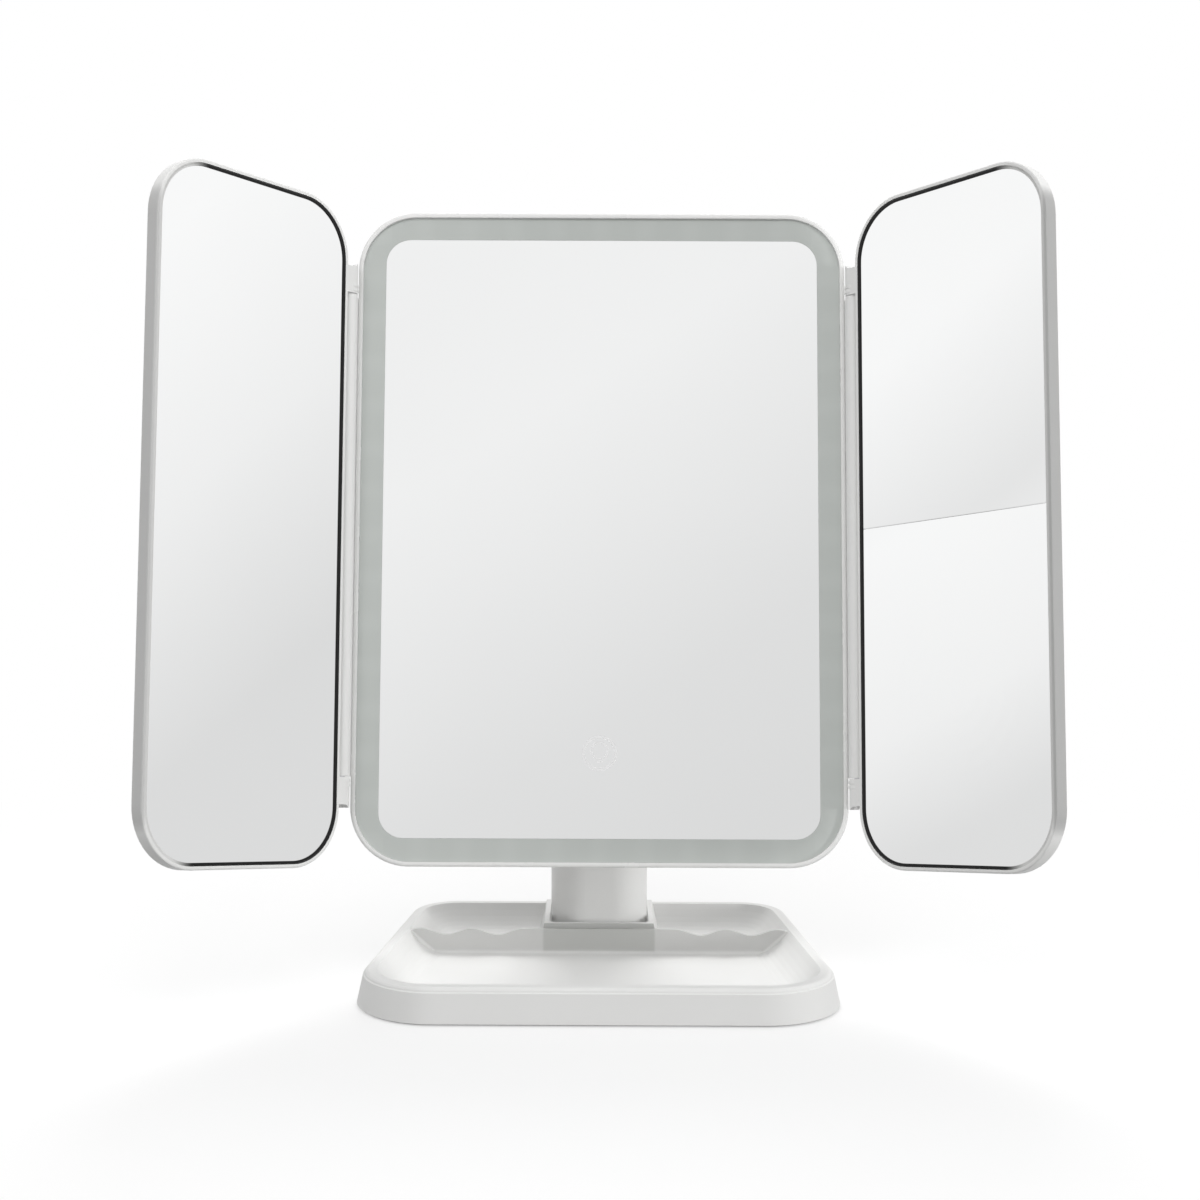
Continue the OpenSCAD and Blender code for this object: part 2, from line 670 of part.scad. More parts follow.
module middle_plate() {
    pocket = 2 * plate_t;
    color(white) stand_panel() difference() {
        union() {
            translate([0, 0, -plate_back]) rounded_plate(plate_w, plate_h, panel_r - rim_w - 1.2, plate_t);
            translate([0, 0, -plate_back])
                rounded_plate(2 * channel_in, 2 * channel_in_h, mirror_r - 3, plate_back - glass_t);
            rounded_ring(plate_w, plate_h, panel_r - rim_w - 1.2, 2, -plate_back, -glass_t - ledge_t);
        }
        difference() {
            translate([0, 0, -plate_back - 1])
                rounded_plate(2 * channel_in - pocket, 2 * channel_in_h - pocket, mirror_r - 4,
                              plate_back + 1 - glass_t - plate_t);
            for (b = housing_bosses) translate([b.x, b.y, -plate_back]) cylinder(r = 4, h = plate_back);
            for (b = board_posts) translate([b.x, b.y, board_front]) cylinder(r = 2, h = plate_back);
        }
        for (b = housing_bosses) translate([b.x, b.y, -plate_back - 1])
            cylinder(r = housing_screw_r, h = plate_back - 2);
        translate([0, -touch_down, -plate_back]) cylinder(r = touch_r + 0.5, h = plate_back + 1);
    }
}

strip_in = 3.4;                              // inset of the LED strip from the plate's edge
strip_w = 5;
strip_t = 0.25;
led_size = [3.5, 2.8, 1.4];

module led_strip() {
    color([0.85, 0.8, 0.6]) stand_panel()
        rounded_ring(plate_w - 2 * strip_in, plate_h - 2 * strip_in, panel_r - rim_w - strip_in, strip_w,
                     -channel_d, -channel_d + strip_t);
}

module leds() {
    side_x = plate_w / 2 - strip_in - strip_w / 2;
    end_y = plate_h / 2 - strip_in - strip_w / 2;
    run_side = 2 * (plate_h / 2 - panel_r);
    run_end = 2 * (plate_w / 2 - panel_r);
    color([0.95, 0.9, 0.6]) stand_panel() translate([0, 0, -channel_d + strip_t + led_size.z / 2]) {
        for (s = [-1, 1], i = [0:leds_side - 1])
            translate([s * side_x, run_side * (i / (leds_side - 1) - 0.5), 0])
                cube([led_size.y, led_size.x, led_size.z], center = true);
        for (s = [-1, 1], i = [0:leds_end - 1])
            translate([run_end * (i / (leds_end - 1) - 0.5), s * end_y, 0]) cube(led_size, center = true);
    }
}

// ======== electronics ========
module control_board() {
    color([0.1, 0.4, 0.2]) stand_panel() translate([0, board_y, board_back + board_t / 2])
        cube([board_w, board_h, board_t], center = true);
}

chip_spots = [[-6, -4], [8, 5], [18, -9], [-10, -12], [-5, -12], [0, -12], [5, -12]];
chip_sizes = [[8, 6, 1.5], [5, 5, 1.2], [6, 5, 2], [2, 1.2, 0.8], [2, 1.2, 0.8], [2, 1.2, 0.8],
              [2, 1.2, 0.8]];

module board_parts() {
    color([0.15, 0.15, 0.16]) stand_panel() translate([0, board_y, board_back])
        for (i = [0:len(chip_spots) - 1])
            translate([chip_spots[i].x, chip_spots[i].y, -chip_sizes[i].z / 2])
                cube(chip_sizes[i], center = true);
}

module touch_electrode() {
    color("goldenrod") stand_panel() translate([0, -touch_down, 0]) {
        translate([0, 0, -glass_t - 0.4]) cylinder(r = touch_r, h = 0.4);
        translate([0, 0, board_front]) cylinder(r = 1.4, h = -glass_t - 0.4 - board_front);
    }
}

module usb_inlet() {
    color("silver") stand_panel() translate([port_x, -port_down, 0]) difference() {
        translate([0, 0, (board_back - panel_d) / 2])
            cube([usb_size.x, usb_size.y, board_back + panel_d], center = true);
        translate([0, 0, -panel_d]) cube([usb_size.x - 0.8, usb_size.y - 0.8, 6], center = true);
    }
}

module switch_body() {
    color([0.2, 0.2, 0.2]) stand_panel() translate([-port_x, -port_down, board_back - 1.4])
        cube([switch_size.x, switch_size.y, 2.8], center = true);
}

module power_switch_knob() {
    knob_front = board_back - 2.9;
    color([0.15, 0.15, 0.15]) stand_panel() translate([-port_x - switch_travel / 2, -port_down, 0])
    difference() {
        translate([0, 0, (knob_front - panel_d - 0.9) / 2])
            cube([knob_size.x, knob_size.y, knob_front + panel_d + 0.9], center = true);
        for (i = [-1, 0, 1]) translate([i * 1.1, 0, -panel_d - 0.9]) cube([0.35, 9, 0.5], center = true);
    }
}

// ======== rear housing ========
module hinge_cheek() {
    low = -panel_d + back_round - 1.5;
    side = panel_w / 2;
    rotate([90, 0, 0]) linear_extrude(2 * barrel_half, center = true) {
        polygon([[side - 1.5, low], [side + 0.8, low], [hinge_x + barrel_r - 0.9, -split_d + 1],
                 [hinge_x + barrel_r, hinge_z], [side + 0.1, hinge_z], [side + 0.1, -split_d - 0.2],
                 [side - 1.5, -split_d - 0.2]]);
        translate([hinge_x, hinge_z]) circle(r = barrel_r);
    }
}

module battery_box() {
    translate([0, bay_y, door_face])
        rounded_plate(box_w, box_h, box_r, bay_floor + bay_floor_t - door_face);
}

module battery_space() {
    translate([0, bay_y, 0]) {
        translate([-bay_half_w, -bay_half_h, door_face - 1])
            cube([2 * bay_half_w, 2 * bay_half_h, bay_floor - door_face + 1]);
        // grooves for the door's hooks, with the gaps that let the hooks in
        for (s = [-1, 1], h = hook_spots) {
            translate([s * bay_half_w, h - 0.4, door_face + hook_t])
                translate([s < 0 ? -hook_foot - 0.4 : 0, 0, 0])
                    cube([hook_foot + 0.4, hook_len + door_travel + 0.8, hook_foot + 0.4]);
            translate([s * bay_half_w, h + door_travel - 0.4, door_face - 1])
                translate([s < 0 ? -hook_foot - 0.4 : 0, 0, 0])
                    cube([hook_foot + 0.4, hook_len + 0.8, hook_t + 1.1]);
        }
    }
}

module rear_housing() {
    color(white) stand_panel() difference() {
        union() {
            difference() {
                rounded_slab(panel_w, panel_h, panel_r, concat(
                    arc_points([back_round, -panel_d + back_round], back_round, 270, 180, 5),
                    [[0, -split_d]]));
                translate([0, 0, rear_in])
                    rounded_plate(panel_w - 2 * wall, panel_h - 2 * wall, panel_r - wall, panel_d);
            }
            rounded_ring(panel_w - 2 * wall - 2 * fit_gap, panel_h - 2 * wall - 2 * fit_gap,
                         panel_r - wall - fit_gap, lip_t, -split_d - 1.5, -split_d + 1.6);
            rounded_ring(panel_w - 1, panel_h - 1, panel_r - 0.5, wall + lip_t - 0.4,
                         -split_d - 1.8, -split_d);
            for (s = [0, 1]) mirror([s, 0, 0]) {
                hinge_cheek();
            }
            for (b = bracket_spots) translate([b.x, b.y, rear_in - eps])
                cylinder(r = bracket_boss_r, h = bracket_boss_h + eps);
            for (b = housing_bosses) translate([b.x, b.y, rear_in - eps])
                cylinder(r = 4, h = -plate_back - rear_in + eps);
            battery_box();
        }
        battery_space();
        for (b = housing_bosses) translate([b.x, b.y, -panel_d - 1]) {
            cylinder(r = housing_screw_r + screw_gap, h = panel_d);
            cylinder(r = housing_head_r + screw_gap, h = 1 + housing_screw_deep);
        }
        for (b = bracket_spots) translate([b.x, b.y, -panel_d - 1])
            cylinder(r = bracket_screw_r, h = 1 + wall + bracket_boss_h - 0.6);
        for (s = [-1, 1], e = [0, 1]) mirror([0, e, 0])
            translate([s * hinge_x, barrel_half - pin_in, hinge_z]) rotate([-90, 0, 0])
                cylinder(r = pin_r, h = pin_in + 1);
        translate([port_x, -port_down, -panel_d])
            cube([usb_size.x + 2 * port_wall_gap, usb_size.y + 2 * port_wall_gap, 9], center = true);
        translate([-port_x, -port_down, -panel_d])
            cube([knob_size.x + switch_travel + 2 * port_wall_gap, knob_size.y + 2 * port_wall_gap, 9],
                 center = true);
        for (s = [-1, 1]) translate([s * lead_x, lead_top, bay_floor - 1])
            cylinder(r = lead_r + 0.4, h = bay_floor_t + 2);
    }
}

module battery_door() {
    color(white) stand_panel() translate([0, bay_y, 0]) {
        translate([0, 0, door_face - door_t]) rounded_slab(box_w, box_h, box_r, concat(
            arc_points([1, 1], 1, 270, 180, 3), [[0, door_t]]));
        for (s = [0, 1], h = hook_spots) mirror([s, 0, 0]) translate([bay_half_w - 0.2, h, door_face]) {
            translate([-hook_t, 0, -eps]) cube([hook_t, hook_len, hook_t + 0.2 + hook_foot + eps]);
            translate([-eps, 0, hook_t + 0.2]) cube([hook_foot + eps, hook_len, hook_foot]);
        }
        for (i = [0:4]) translate([0, -bay_half_h + 6 + 2.4 * i, door_face - door_t - 0.15])
            cube([20, 1, 0.5], center = true);
    }
}

module aa_cells() {
    nub = 1;
    color([0.3, 0.45, 0.35]) stand_panel() translate([0, bay_y, cell_z]) for (i = [0:3])
        translate([(i - 1.5) * cell_d * 1.005, 0, 0]) mirror([0, i % 2, 0])
            translate([0, -cell_len / 2, 0]) rotate([-90, 0, 0]) {
                cylinder(d = cell_d, h = cell_len - nub);
                cylinder(r = 2.75, h = cell_len);
            }
}

module battery_contacts() {
    color("silver") stand_panel() translate([0, bay_y, cell_z]) for (e = [0, 1]) mirror([0, e, 0]) {
        spans = e == 0 ? [[-1.5, 1], [0, 2], [1.5, 1]] : [[-1, 2], [1, 2]];
        for (p = spans)
            translate([p[0] * cell_d, bay_half_h - contact_t / 2, 0])
                cube([p[1] * cell_d - 1.4, contact_t, 11], center = true);
        for (i = [0:3]) translate([(i - 1.5) * cell_d, bay_half_h - contact_t, 0]) rotate([90, 0, 0])
            cylinder(r1 = 4.2, r2 = 2.4, h = end_gap - contact_t);
    }
}

// Two leads, from the contacts through the bay floor down to the board
module battery_leads() {
    low = board_y + board_h / 2 - 4;
    color("firebrick") stand_panel() for (s = [-1, 1]) translate([s * lead_x, 0, 0]) {
        translate([0, lead_top, cell_z + 5]) cylinder(r = lead_r, h = lead_back - cell_z - 5);
        translate([0, lead_top, lead_back]) sphere(r = lead_r);
        translate([0, low, lead_back]) rotate([-90, 0, 0]) cylinder(r = lead_r, h = lead_top - low);
    }
}

module housing_screws() {
    head_h = 1.2;
    low = -panel_d + housing_screw_deep - head_h;
    color("silver") stand_panel() for (b = housing_bosses) translate([b.x, b.y, low])
        screw(housing_head_r, head_h, housing_screw_r, -low - head_h - glass_t - 1.6);
}

// ======== wings ========
wing_mid = wing_edge + wing_w / 2;
mirror_in = wing_rim + seal_t;
mirror_back = wing_mirror_z - wing_glass_t;
half_wing_mirror = panel_h / 2 - mirror_in;
split_y = half_wing_mirror - upper_mirror_h;

scoop_deep = 1.2;
ridge_w = 1;

// Hinge ear with two ridges at its inner end and a scoop in its outer end
module wing_ear() {
    difference() {
        translate([0, ear_top - ear_len, 0]) rotate([-90, 0, 0]) {
            cylinder(r = wing_t / 2, h = ear_len + scoop_deep);
            translate([0, -wing_t / 2, 0]) cube([wing_edge + 1, wing_t, ear_len]);
            for (i = [0, 1]) translate([0, 0, 0.7 + 1.7 * i])
                cylinder(r = wing_t / 2 + ear_ridge, h = ridge_w);
        }
        translate([wing_edge - scoop_r, ear_top + scoop_r, -wing_t]) cylinder(r = scoop_r, h = 2 * wing_t);
    }
}

module wing_shell(side) {
    color(white) stand_wing(side) {
        difference() {
            union() {
                translate([wing_mid, 0, 0]) rounded_slab(wing_w, panel_h, wing_r, concat(
                    arc_points([1.6, -wing_t / 2 + 1.6], 1.6, 270, 180, 4),
                    arc_points([0.5, wing_t / 2 - 0.5], 0.5, 180, 90, 2)));
                for (e = [0, 1]) mirror([0, e, 0]) wing_ear();
            }
            translate([wing_mid, 0, wing_floor_z])
                rounded_plate(wing_w - 2 * wing_rim, panel_h - 2 * wing_rim, wing_r - wing_rim, wing_t);
            for (e = [0, 1]) mirror([0, e, 0]) translate([0, ear_top - ear_len - 1, 0]) rotate([-90, 0, 0])
                cylinder(r = pin_r + run_gap, h = ear_len + scoop_deep + 2);
        }
    }
}

module wing_seal(side) {
    color([0.03, 0.03, 0.03]) stand_wing(side) translate([wing_mid, 0, 0])
        rounded_ring(wing_w - 2 * wing_rim, panel_h - 2 * wing_rim, wing_r - wing_rim, seal_t,
                     wing_floor_z, wing_t / 2 - 0.15);
}

module wing_pad(side) {
    color([0.2, 0.2, 0.2]) stand_wing(side) translate([wing_mid, 0, wing_floor_z])
        rounded_plate(wing_w - 2 * mirror_in - 2, panel_h - 2 * mirror_in - 2, wing_r - mirror_in - 1,
                      mirror_back - wing_floor_z);
}

module wing_mirror_blank() {
    translate([wing_mid, 0, mirror_back])
        rounded_plate(wing_w - 2 * mirror_in, panel_h - 2 * mirror_in, wing_r - mirror_in, wing_glass_t);
}

// Shallow hollow of a magnifying mirror, that runs out at the mirror's corners
module hollow(radius, w, h) {
    reach = norm([w, h]) / 2;
    steps = 12;
    rotate_extrude($fn = 180) polygon(concat(
        [for (i = [0:steps]) let (x = reach * i / steps)
            [x, (x * x - reach * reach) / (2 * radius)]],
        [[reach, 2], [0, 2]]));
}

module split_mirror(low, high, hollow_r) {
    w = wing_w - 2 * mirror_in;
    color([0.85, 0.87, 0.88]) stand_wing(1) difference() {
        intersection() {
            wing_mirror_blank();
            translate([0, low, mirror_back - 1]) cube([200, high - low, wing_glass_t + 2]);
        }
        translate([wing_mid, (low + high) / 2, wing_mirror_z]) hollow(hollow_r, w, high - low);
    }
}

module left_wing_mirror() {
    color([0.85, 0.87, 0.88]) stand_wing(-1) wing_mirror_blank();
}

module right_upper_mirror() {
    split_mirror(split_y + mirror_gap / 2, half_wing_mirror, upper_hollow_r);
}

module right_lower_mirror() {
    split_mirror(-half_wing_mirror, split_y - mirror_gap / 2, lower_hollow_r);
}

module hinge_pins(side) {
    color("silver") stand_panel() for (e = [0, 1]) mirror([0, e, 0])
        translate([side * hinge_x, barrel_half - pin_in, hinge_z]) rotate([-90, 0, 0])
            cylinder(r = pin_r, h = pin_in + ear_gap + ear_len - 0.6);
}

base_shell();
weight_plate();
antislip_pad();
base_screws();
neck_column();
neck_screws();
tilt_bush();
rear_housing();
front_frame();
light_band();
centre_mirror();
middle_plate();
led_strip();
leds();
control_board();
board_parts();
touch_electrode();
usb_inlet();
switch_body();
power_switch_knob();
battery_door();
aa_cells();
battery_contacts();
battery_leads();
housing_screws();
tilt_bracket();
bracket_screws();
tilt_axle();
tilt_washers();
tilt_nut();
tilt_caps();
wing_shell(-1);  // left_wing_shell
left_wing_mirror();
wing_seal(-1);  // left_wing_seal
wing_pad(-1);  // left_wing_pad
hinge_pins(-1);  // left_hinge_pins
wing_shell(1);  // right_wing_shell
right_upper_mirror();
right_lower_mirror();
wing_seal(1);  // right_wing_seal
wing_pad(1);  // right_wing_pad
hinge_pins(1);  // right_hinge_pins
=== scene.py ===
import json
import logging
import math
from dataclasses import dataclass, field
from enum import Enum

import bmesh
import bpy
from mathutils import Matrix, Vector

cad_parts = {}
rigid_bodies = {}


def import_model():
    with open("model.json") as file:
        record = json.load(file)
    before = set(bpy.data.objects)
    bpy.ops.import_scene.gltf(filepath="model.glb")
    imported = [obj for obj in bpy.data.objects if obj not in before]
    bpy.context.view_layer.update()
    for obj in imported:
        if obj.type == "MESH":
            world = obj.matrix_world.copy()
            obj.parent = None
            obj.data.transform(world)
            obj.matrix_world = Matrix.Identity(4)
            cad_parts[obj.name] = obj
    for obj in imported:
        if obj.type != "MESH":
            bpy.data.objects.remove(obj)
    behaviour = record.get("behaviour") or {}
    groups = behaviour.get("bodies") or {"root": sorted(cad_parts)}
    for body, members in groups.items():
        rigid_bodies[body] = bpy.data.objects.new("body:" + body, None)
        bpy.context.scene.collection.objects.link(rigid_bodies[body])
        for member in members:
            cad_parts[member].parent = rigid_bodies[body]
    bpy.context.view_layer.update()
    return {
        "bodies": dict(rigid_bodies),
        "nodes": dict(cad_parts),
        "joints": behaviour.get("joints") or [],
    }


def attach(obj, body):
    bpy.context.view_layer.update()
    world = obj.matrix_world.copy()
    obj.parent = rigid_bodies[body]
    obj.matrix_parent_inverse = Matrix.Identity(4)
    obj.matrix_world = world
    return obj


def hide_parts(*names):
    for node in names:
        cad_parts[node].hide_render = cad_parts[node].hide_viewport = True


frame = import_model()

log = logging.getLogger("vanity_mirror")

MM = 0.001
HINGE_OUT = 91 * MM  # from the centre panel's middle to a wing's hinge axis
HINGE_PROUD = 4.75 * MM  # from the glass forward to a wing's hinge axis
CELL_MIDDLE = 22 * MM  # the cells' middle, up the panel
WING_TURN = 51.5  # how far the wings are folded forward at rest, in degrees
MERGE = 0.002 * MM  # corners nearer than this are one corner

Colour = tuple[float, float, float]
Socket = bpy.types.NodeSocket
Tree = bpy.types.NodeTree


# ---------------------------------------------------------------- node helpers
def feed(node: bpy.types.Node, inputs: dict) -> None:
    """Sets a node's inputs to values, or links them to sockets, by name or index."""
    for name, value in inputs.items():
        if isinstance(value, Socket):
            node.id_data.links.new(value, node.inputs[name])
        else:
            node.inputs[name].default_value = value


def add_node(tree: Tree, kind: str, inputs: dict | None = None, **settings) -> bpy.types.Node:
    """Adds a node, sets its properties and feeds its inputs.

    Args:
        tree: the node tree that gets the node.
        kind: the node's type name.
        inputs: values or sockets by input name or index.
        **settings: properties of the node itself.

    Returns:
        The new node.
    """
    made = tree.nodes.new(kind)
    for name, value in settings.items():
        setattr(made, name, value)
    feed(made, inputs or {})
    return made


def calc(tree: Tree, operation: str, *values: float | Socket) -> Socket:
    """Adds a Math node on numbers or sockets and gives its result."""
    return add_node(tree, "ShaderNodeMath", dict(enumerate(values)), operation=operation).outputs[0]


def remap(tree: Tree, value: Socket, low: float | Socket, high: float | Socket, **settings) -> Socket:
    """Adds a Map Range node from low..high to 0..1 and gives its result."""
    return add_node(tree, "ShaderNodeMapRange", {"Value": value, "From Min": low, "From Max": high},
                    **settings).outputs["Result"]


def blend(tree: Tree, factor: Socket, first: Socket | tuple, second: Socket | tuple) -> Socket:
    """Adds a colour mix and gives its result."""
    return add_node(tree, "ShaderNodeMix", {"Factor": factor, "A": first, "B": second},
                    data_type="RGBA").outputs["Result"]


def object_place(tree: Tree) -> Socket:
    """Adds the Object coordinates."""
    return add_node(tree, "ShaderNodeTexCoord").outputs["Object"]


def split_axes(tree: Tree, vector: Socket) -> bpy.types.NodeOutputs:
    """Splits a vector into outputs X, Y and Z."""
    return add_node(tree, "ShaderNodeSeparateXYZ", {"Vector": vector}).outputs


def rgba(colour: Colour) -> tuple[float, float, float, float]:
    """Gives a colour an alpha of one."""
    return (*colour, 1.0)


class SurfaceGroups:
    """The shared surface effects, each a node group that is built once."""

    def __init__(self) -> None:
        """Starts with no group built."""
        self.made: dict[str, bpy.types.ShaderNodeTree] = {}

    def _new(self, name: str, inputs: dict[str, tuple[str, object]], outputs: dict[str, str]):
        """Makes an empty group with named sockets.

        Args:
            name: the group's name.
            inputs: socket type and default by socket name.
            outputs: socket type by socket name.

        Returns:
            The group, its input node and its output node.
        """
        tree = bpy.data.node_groups.new(name, "ShaderNodeTree")
        for label, (kind, default) in inputs.items():
            socket = tree.interface.new_socket(name=label, in_out="INPUT", socket_type=kind)
            socket.default_value = default
        for label, kind in outputs.items():
            tree.interface.new_socket(name=label, in_out="OUTPUT", socket_type=kind)
        self.made[name] = tree
        return tree, tree.nodes.new("NodeGroupInput"), tree.nodes.new("NodeGroupOutput")

    def tone(self) -> bpy.types.ShaderNodeTree:
        """Gives a colour a slow drift in lightness, as moulded and painted faces have.

        Returns:
            The group, with inputs Colour, Second, Scale and Sharpness, and outputs Colour and Mask.
        """
        if "SurfaceTone" in self.made:
            return self.made["SurfaceTone"]
        tree, into, out = self._new(
            "SurfaceTone",
            {"Colour": ("NodeSocketColor", (1, 1, 1, 1)), "Second": ("NodeSocketColor", (1, 1, 1, 1)),
             "Scale": ("NodeSocketFloat", 30.0), "Sharpness": ("NodeSocketFloat", 0.3)},
            {"Colour": "NodeSocketColor", "Mask": "NodeSocketFloat"})
        noise = add_node(tree, "ShaderNodeTexNoise", {
            "Vector": object_place(tree), "Scale": into.outputs["Scale"], "Detail": 4.0, "Roughness": 0.55})
        half = calc(tree, "MULTIPLY", calc(tree, "SUBTRACT", 1.0, into.outputs["Sharpness"]), 0.5)
        mask = remap(tree, noise.outputs["Fac"], calc(tree, "SUBTRACT", 0.5, half),
                     calc(tree, "ADD", 0.5, half))
        feed(out, {"Colour": blend(tree, mask, into.outputs["Colour"], into.outputs["Second"]),
                   "Mask": mask})
        return tree

    def grain(self) -> bpy.types.ShaderNodeTree:
        """Makes the fine grain of a moulded or blasted face.

        Returns:
            The group, with inputs Scale, Low and High, and outputs Height and Roughness.
        """
        if "FineGrain" in self.made:
            return self.made["FineGrain"]
        tree, into, out = self._new(
            "FineGrain",
            {"Scale": ("NodeSocketFloat", 1500.0), "Low": ("NodeSocketFloat", 0.3),
             "High": ("NodeSocketFloat", 0.4)},
            {"Height": "NodeSocketFloat", "Roughness": "NodeSocketFloat"})
        place = object_place(tree)
        fine = add_node(tree, "ShaderNodeTexNoise", {
            "Vector": place, "Scale": into.outputs["Scale"], "Detail": 3.0, "Roughness": 0.6})
        wide = add_node(tree, "ShaderNodeTexNoise", {
            "Vector": place, "Scale": calc(tree, "MULTIPLY", into.outputs["Scale"], 0.035),
            "Detail": 5.0, "Roughness": 0.6})
        span = add_node(tree, "ShaderNodeMapRange", {
            "Value": wide.outputs["Fac"], "From Min": 0.3, "From Max": 0.7,
            "To Min": into.outputs["Low"], "To Max": into.outputs["High"]})
        feed(out, {"Height": fine.outputs["Fac"], "Roughness": span.outputs["Result"]})
        return tree

    def toned(self, tree: Tree, colour: Colour, second: Colour, scale: float = 22.0) -> Socket:
        """Gives a material a colour that drifts between two."""
        return add_node(tree, "ShaderNodeGroup", {
            "Colour": rgba(colour), "Second": rgba(second), "Scale": scale},
            node_tree=self.tone()).outputs["Colour"]

    def roughen(self, shader: bpy.types.Node, scale: float, low: float, high: float,
                depth: float = 0.02 * MM, strength: float = 0.6) -> None:
        """Gives a shader the grain's roughness, and its normal where the grain has depth.

        Args:
            shader: the Principled node.
            scale: the fine grain's noise scale.
            low: least roughness.
            high: most roughness.
            depth: the bump's distance, or 0 for no bump.
            strength: the bump's strength.
        """
        tree = shader.id_data
        grain = add_node(tree, "ShaderNodeGroup", {"Scale": scale, "Low": low, "High": high},
                         node_tree=self.grain())
        feed(shader, {"Roughness": grain.outputs["Roughness"]})
        if depth:
            bump = add_node(tree, "ShaderNodeBump", {
                "Strength": strength, "Distance": depth, "Height": grain.outputs["Height"]})
            feed(shader, {"Normal": bump.outputs["Normal"]})


GROUPS = SurfaceGroups()


def new_material(name: str) -> tuple[bpy.types.Material, Tree, bpy.types.Node]:
    """Makes a material and gives it with its tree and its Principled shader."""
    made = bpy.data.materials.new(name)
    made.use_nodes = True
    return made, made.node_tree, made.node_tree.nodes["Principled BSDF"]


# ---------------------------------------------------------------- finishes
@dataclass(frozen=True)
class Finish:
    """A material on one Principled shader, which each kind of finish fills in."""

    name: str

    def fill(self, tree: Tree, shader: bpy.types.Node) -> None:
        """Adds the finish's nodes to the material's tree and feeds its shader."""
        raise NotImplementedError

    def build(self) -> bpy.types.Material:
        """Builds the material."""
        made, tree, shader = new_material(self.name)
        self.fill(tree, shader)
        return made


@dataclass(frozen=True)
class Moulded(Finish):
    """Moulded plastic, rubber or foam: a toned colour and a fine grain."""

    colour: Colour
    second: Colour
    rough_low: float = 0.32
    rough_high: float = 0.42
    tone_scale: float = 22.0
    grain_scale: float = 1600.0
    grain_depth: float = 0.02 * MM
    specular: float = 0.5
    coat: float = 0.0

    def fill(self, tree: Tree, shader: bpy.types.Node) -> None:
        """Adds the colour, the grain, the specular level and the coat."""
        GROUPS.roughen(shader, self.grain_scale, self.rough_low, self.rough_high, self.grain_depth)
        feed(shader, {"Base Color": GROUPS.toned(tree, self.colour, self.second, self.tone_scale),
                      "Specular IOR Level": self.specular, "Coat Weight": self.coat})


@dataclass(frozen=True)
class Metal(Finish):
    """Bare metal with a fine grain drawn along one axis."""

    colour: Colour
    second: Colour
    rough_low: float = 0.22
    rough_high: float = 0.38
    stretch: Colour = (1.0, 1.0, 14.0)
    grain_scale: float = 260.0

    def fill(self, tree: Tree, shader: bpy.types.Node) -> None:
        """Adds the colour and the drawn grain."""
        drawn = add_node(tree, "ShaderNodeMapping", {"Vector": object_place(tree), "Scale": self.stretch})
        lines = add_node(tree, "ShaderNodeTexNoise", {
            "Vector": drawn.outputs["Vector"], "Scale": self.grain_scale, "Detail": 3.0}).outputs["Fac"]
        span = add_node(tree, "ShaderNodeMapRange", {
            "Value": lines, "To Min": self.rough_low, "To Max": self.rough_high})
        bump = add_node(tree, "ShaderNodeBump", {"Strength": 0.25, "Distance": 0.02 * MM, "Height": lines})
        feed(shader, {"Base Color": GROUPS.toned(tree, self.colour, self.second, 60.0), "Metallic": 1.0,
                      "Roughness": span.outputs["Result"], "Normal": bump.outputs["Normal"]})


@dataclass(frozen=True)
class SilveredGlass(Finish):
    """Mirror glass: silver behind a clear coat, with a trace of haze."""

    colour: Colour = (0.95, 0.955, 0.955)
    haze: Colour = (0.93, 0.935, 0.935)

    def fill(self, tree: Tree, shader: bpy.types.Node) -> None:
        """Adds the silver's colour and its haze."""
        GROUPS.roughen(shader, 300.0, 0.015, 0.035, depth=0.0)
        feed(shader, {"Base Color": GROUPS.toned(tree, self.colour, self.haze, 9.0), "Metallic": 1.0})


@dataclass(frozen=True)
class PanelFrame:
    """The centre panel's own frame: X right, Y up the panel, Z out of the glass."""

    matrix: Matrix

    @staticmethod
    def from_joints(joints: list[dict]) -> "PanelFrame":
        """Finds the frame from the left wing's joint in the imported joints."""
        wing = next(j for j in joints if j["name"] == "left_wing_fold")
        up = Vector(wing["axis"]).normalized()
        right = Vector((1, 0, 0))
        out = right.cross(up)
        origin = Vector(wing["pos_m"]) + right * HINGE_OUT - out * HINGE_PROUD
        rows = [[right[i], up[i], out[i], origin[i]] for i in range(3)]
        return PanelFrame(Matrix([*rows, [0, 0, 0, 1]]))

    def along_wing(self, sense: float) -> Vector:
        """Gives the direction from a wing's hinge to its free edge at rest, sense -1 for the left wing."""
        angle = math.radians(WING_TURN)
        return self.matrix.to_3x3() @ Vector((sense * math.cos(angle), 0, math.sin(angle)))


    @property
    def up(self) -> Vector:
        """Gives the direction up the panel."""
        return self.matrix.to_3x3() @ Vector((0, 1, 0))

    def split_place(self, tree: Tree) -> bpy.types.NodeOutputs:
        """Gives the Object coordinates in the panel's frame, as outputs X, Y and Z."""
        inverse = self.matrix.inverted()
        lay = add_node(tree, "ShaderNodeMapping", {
            "Vector": object_place(tree), "Rotation": inverse.to_euler(), "Location": inverse.translation})
        return split_axes(tree, lay.outputs["Vector"])


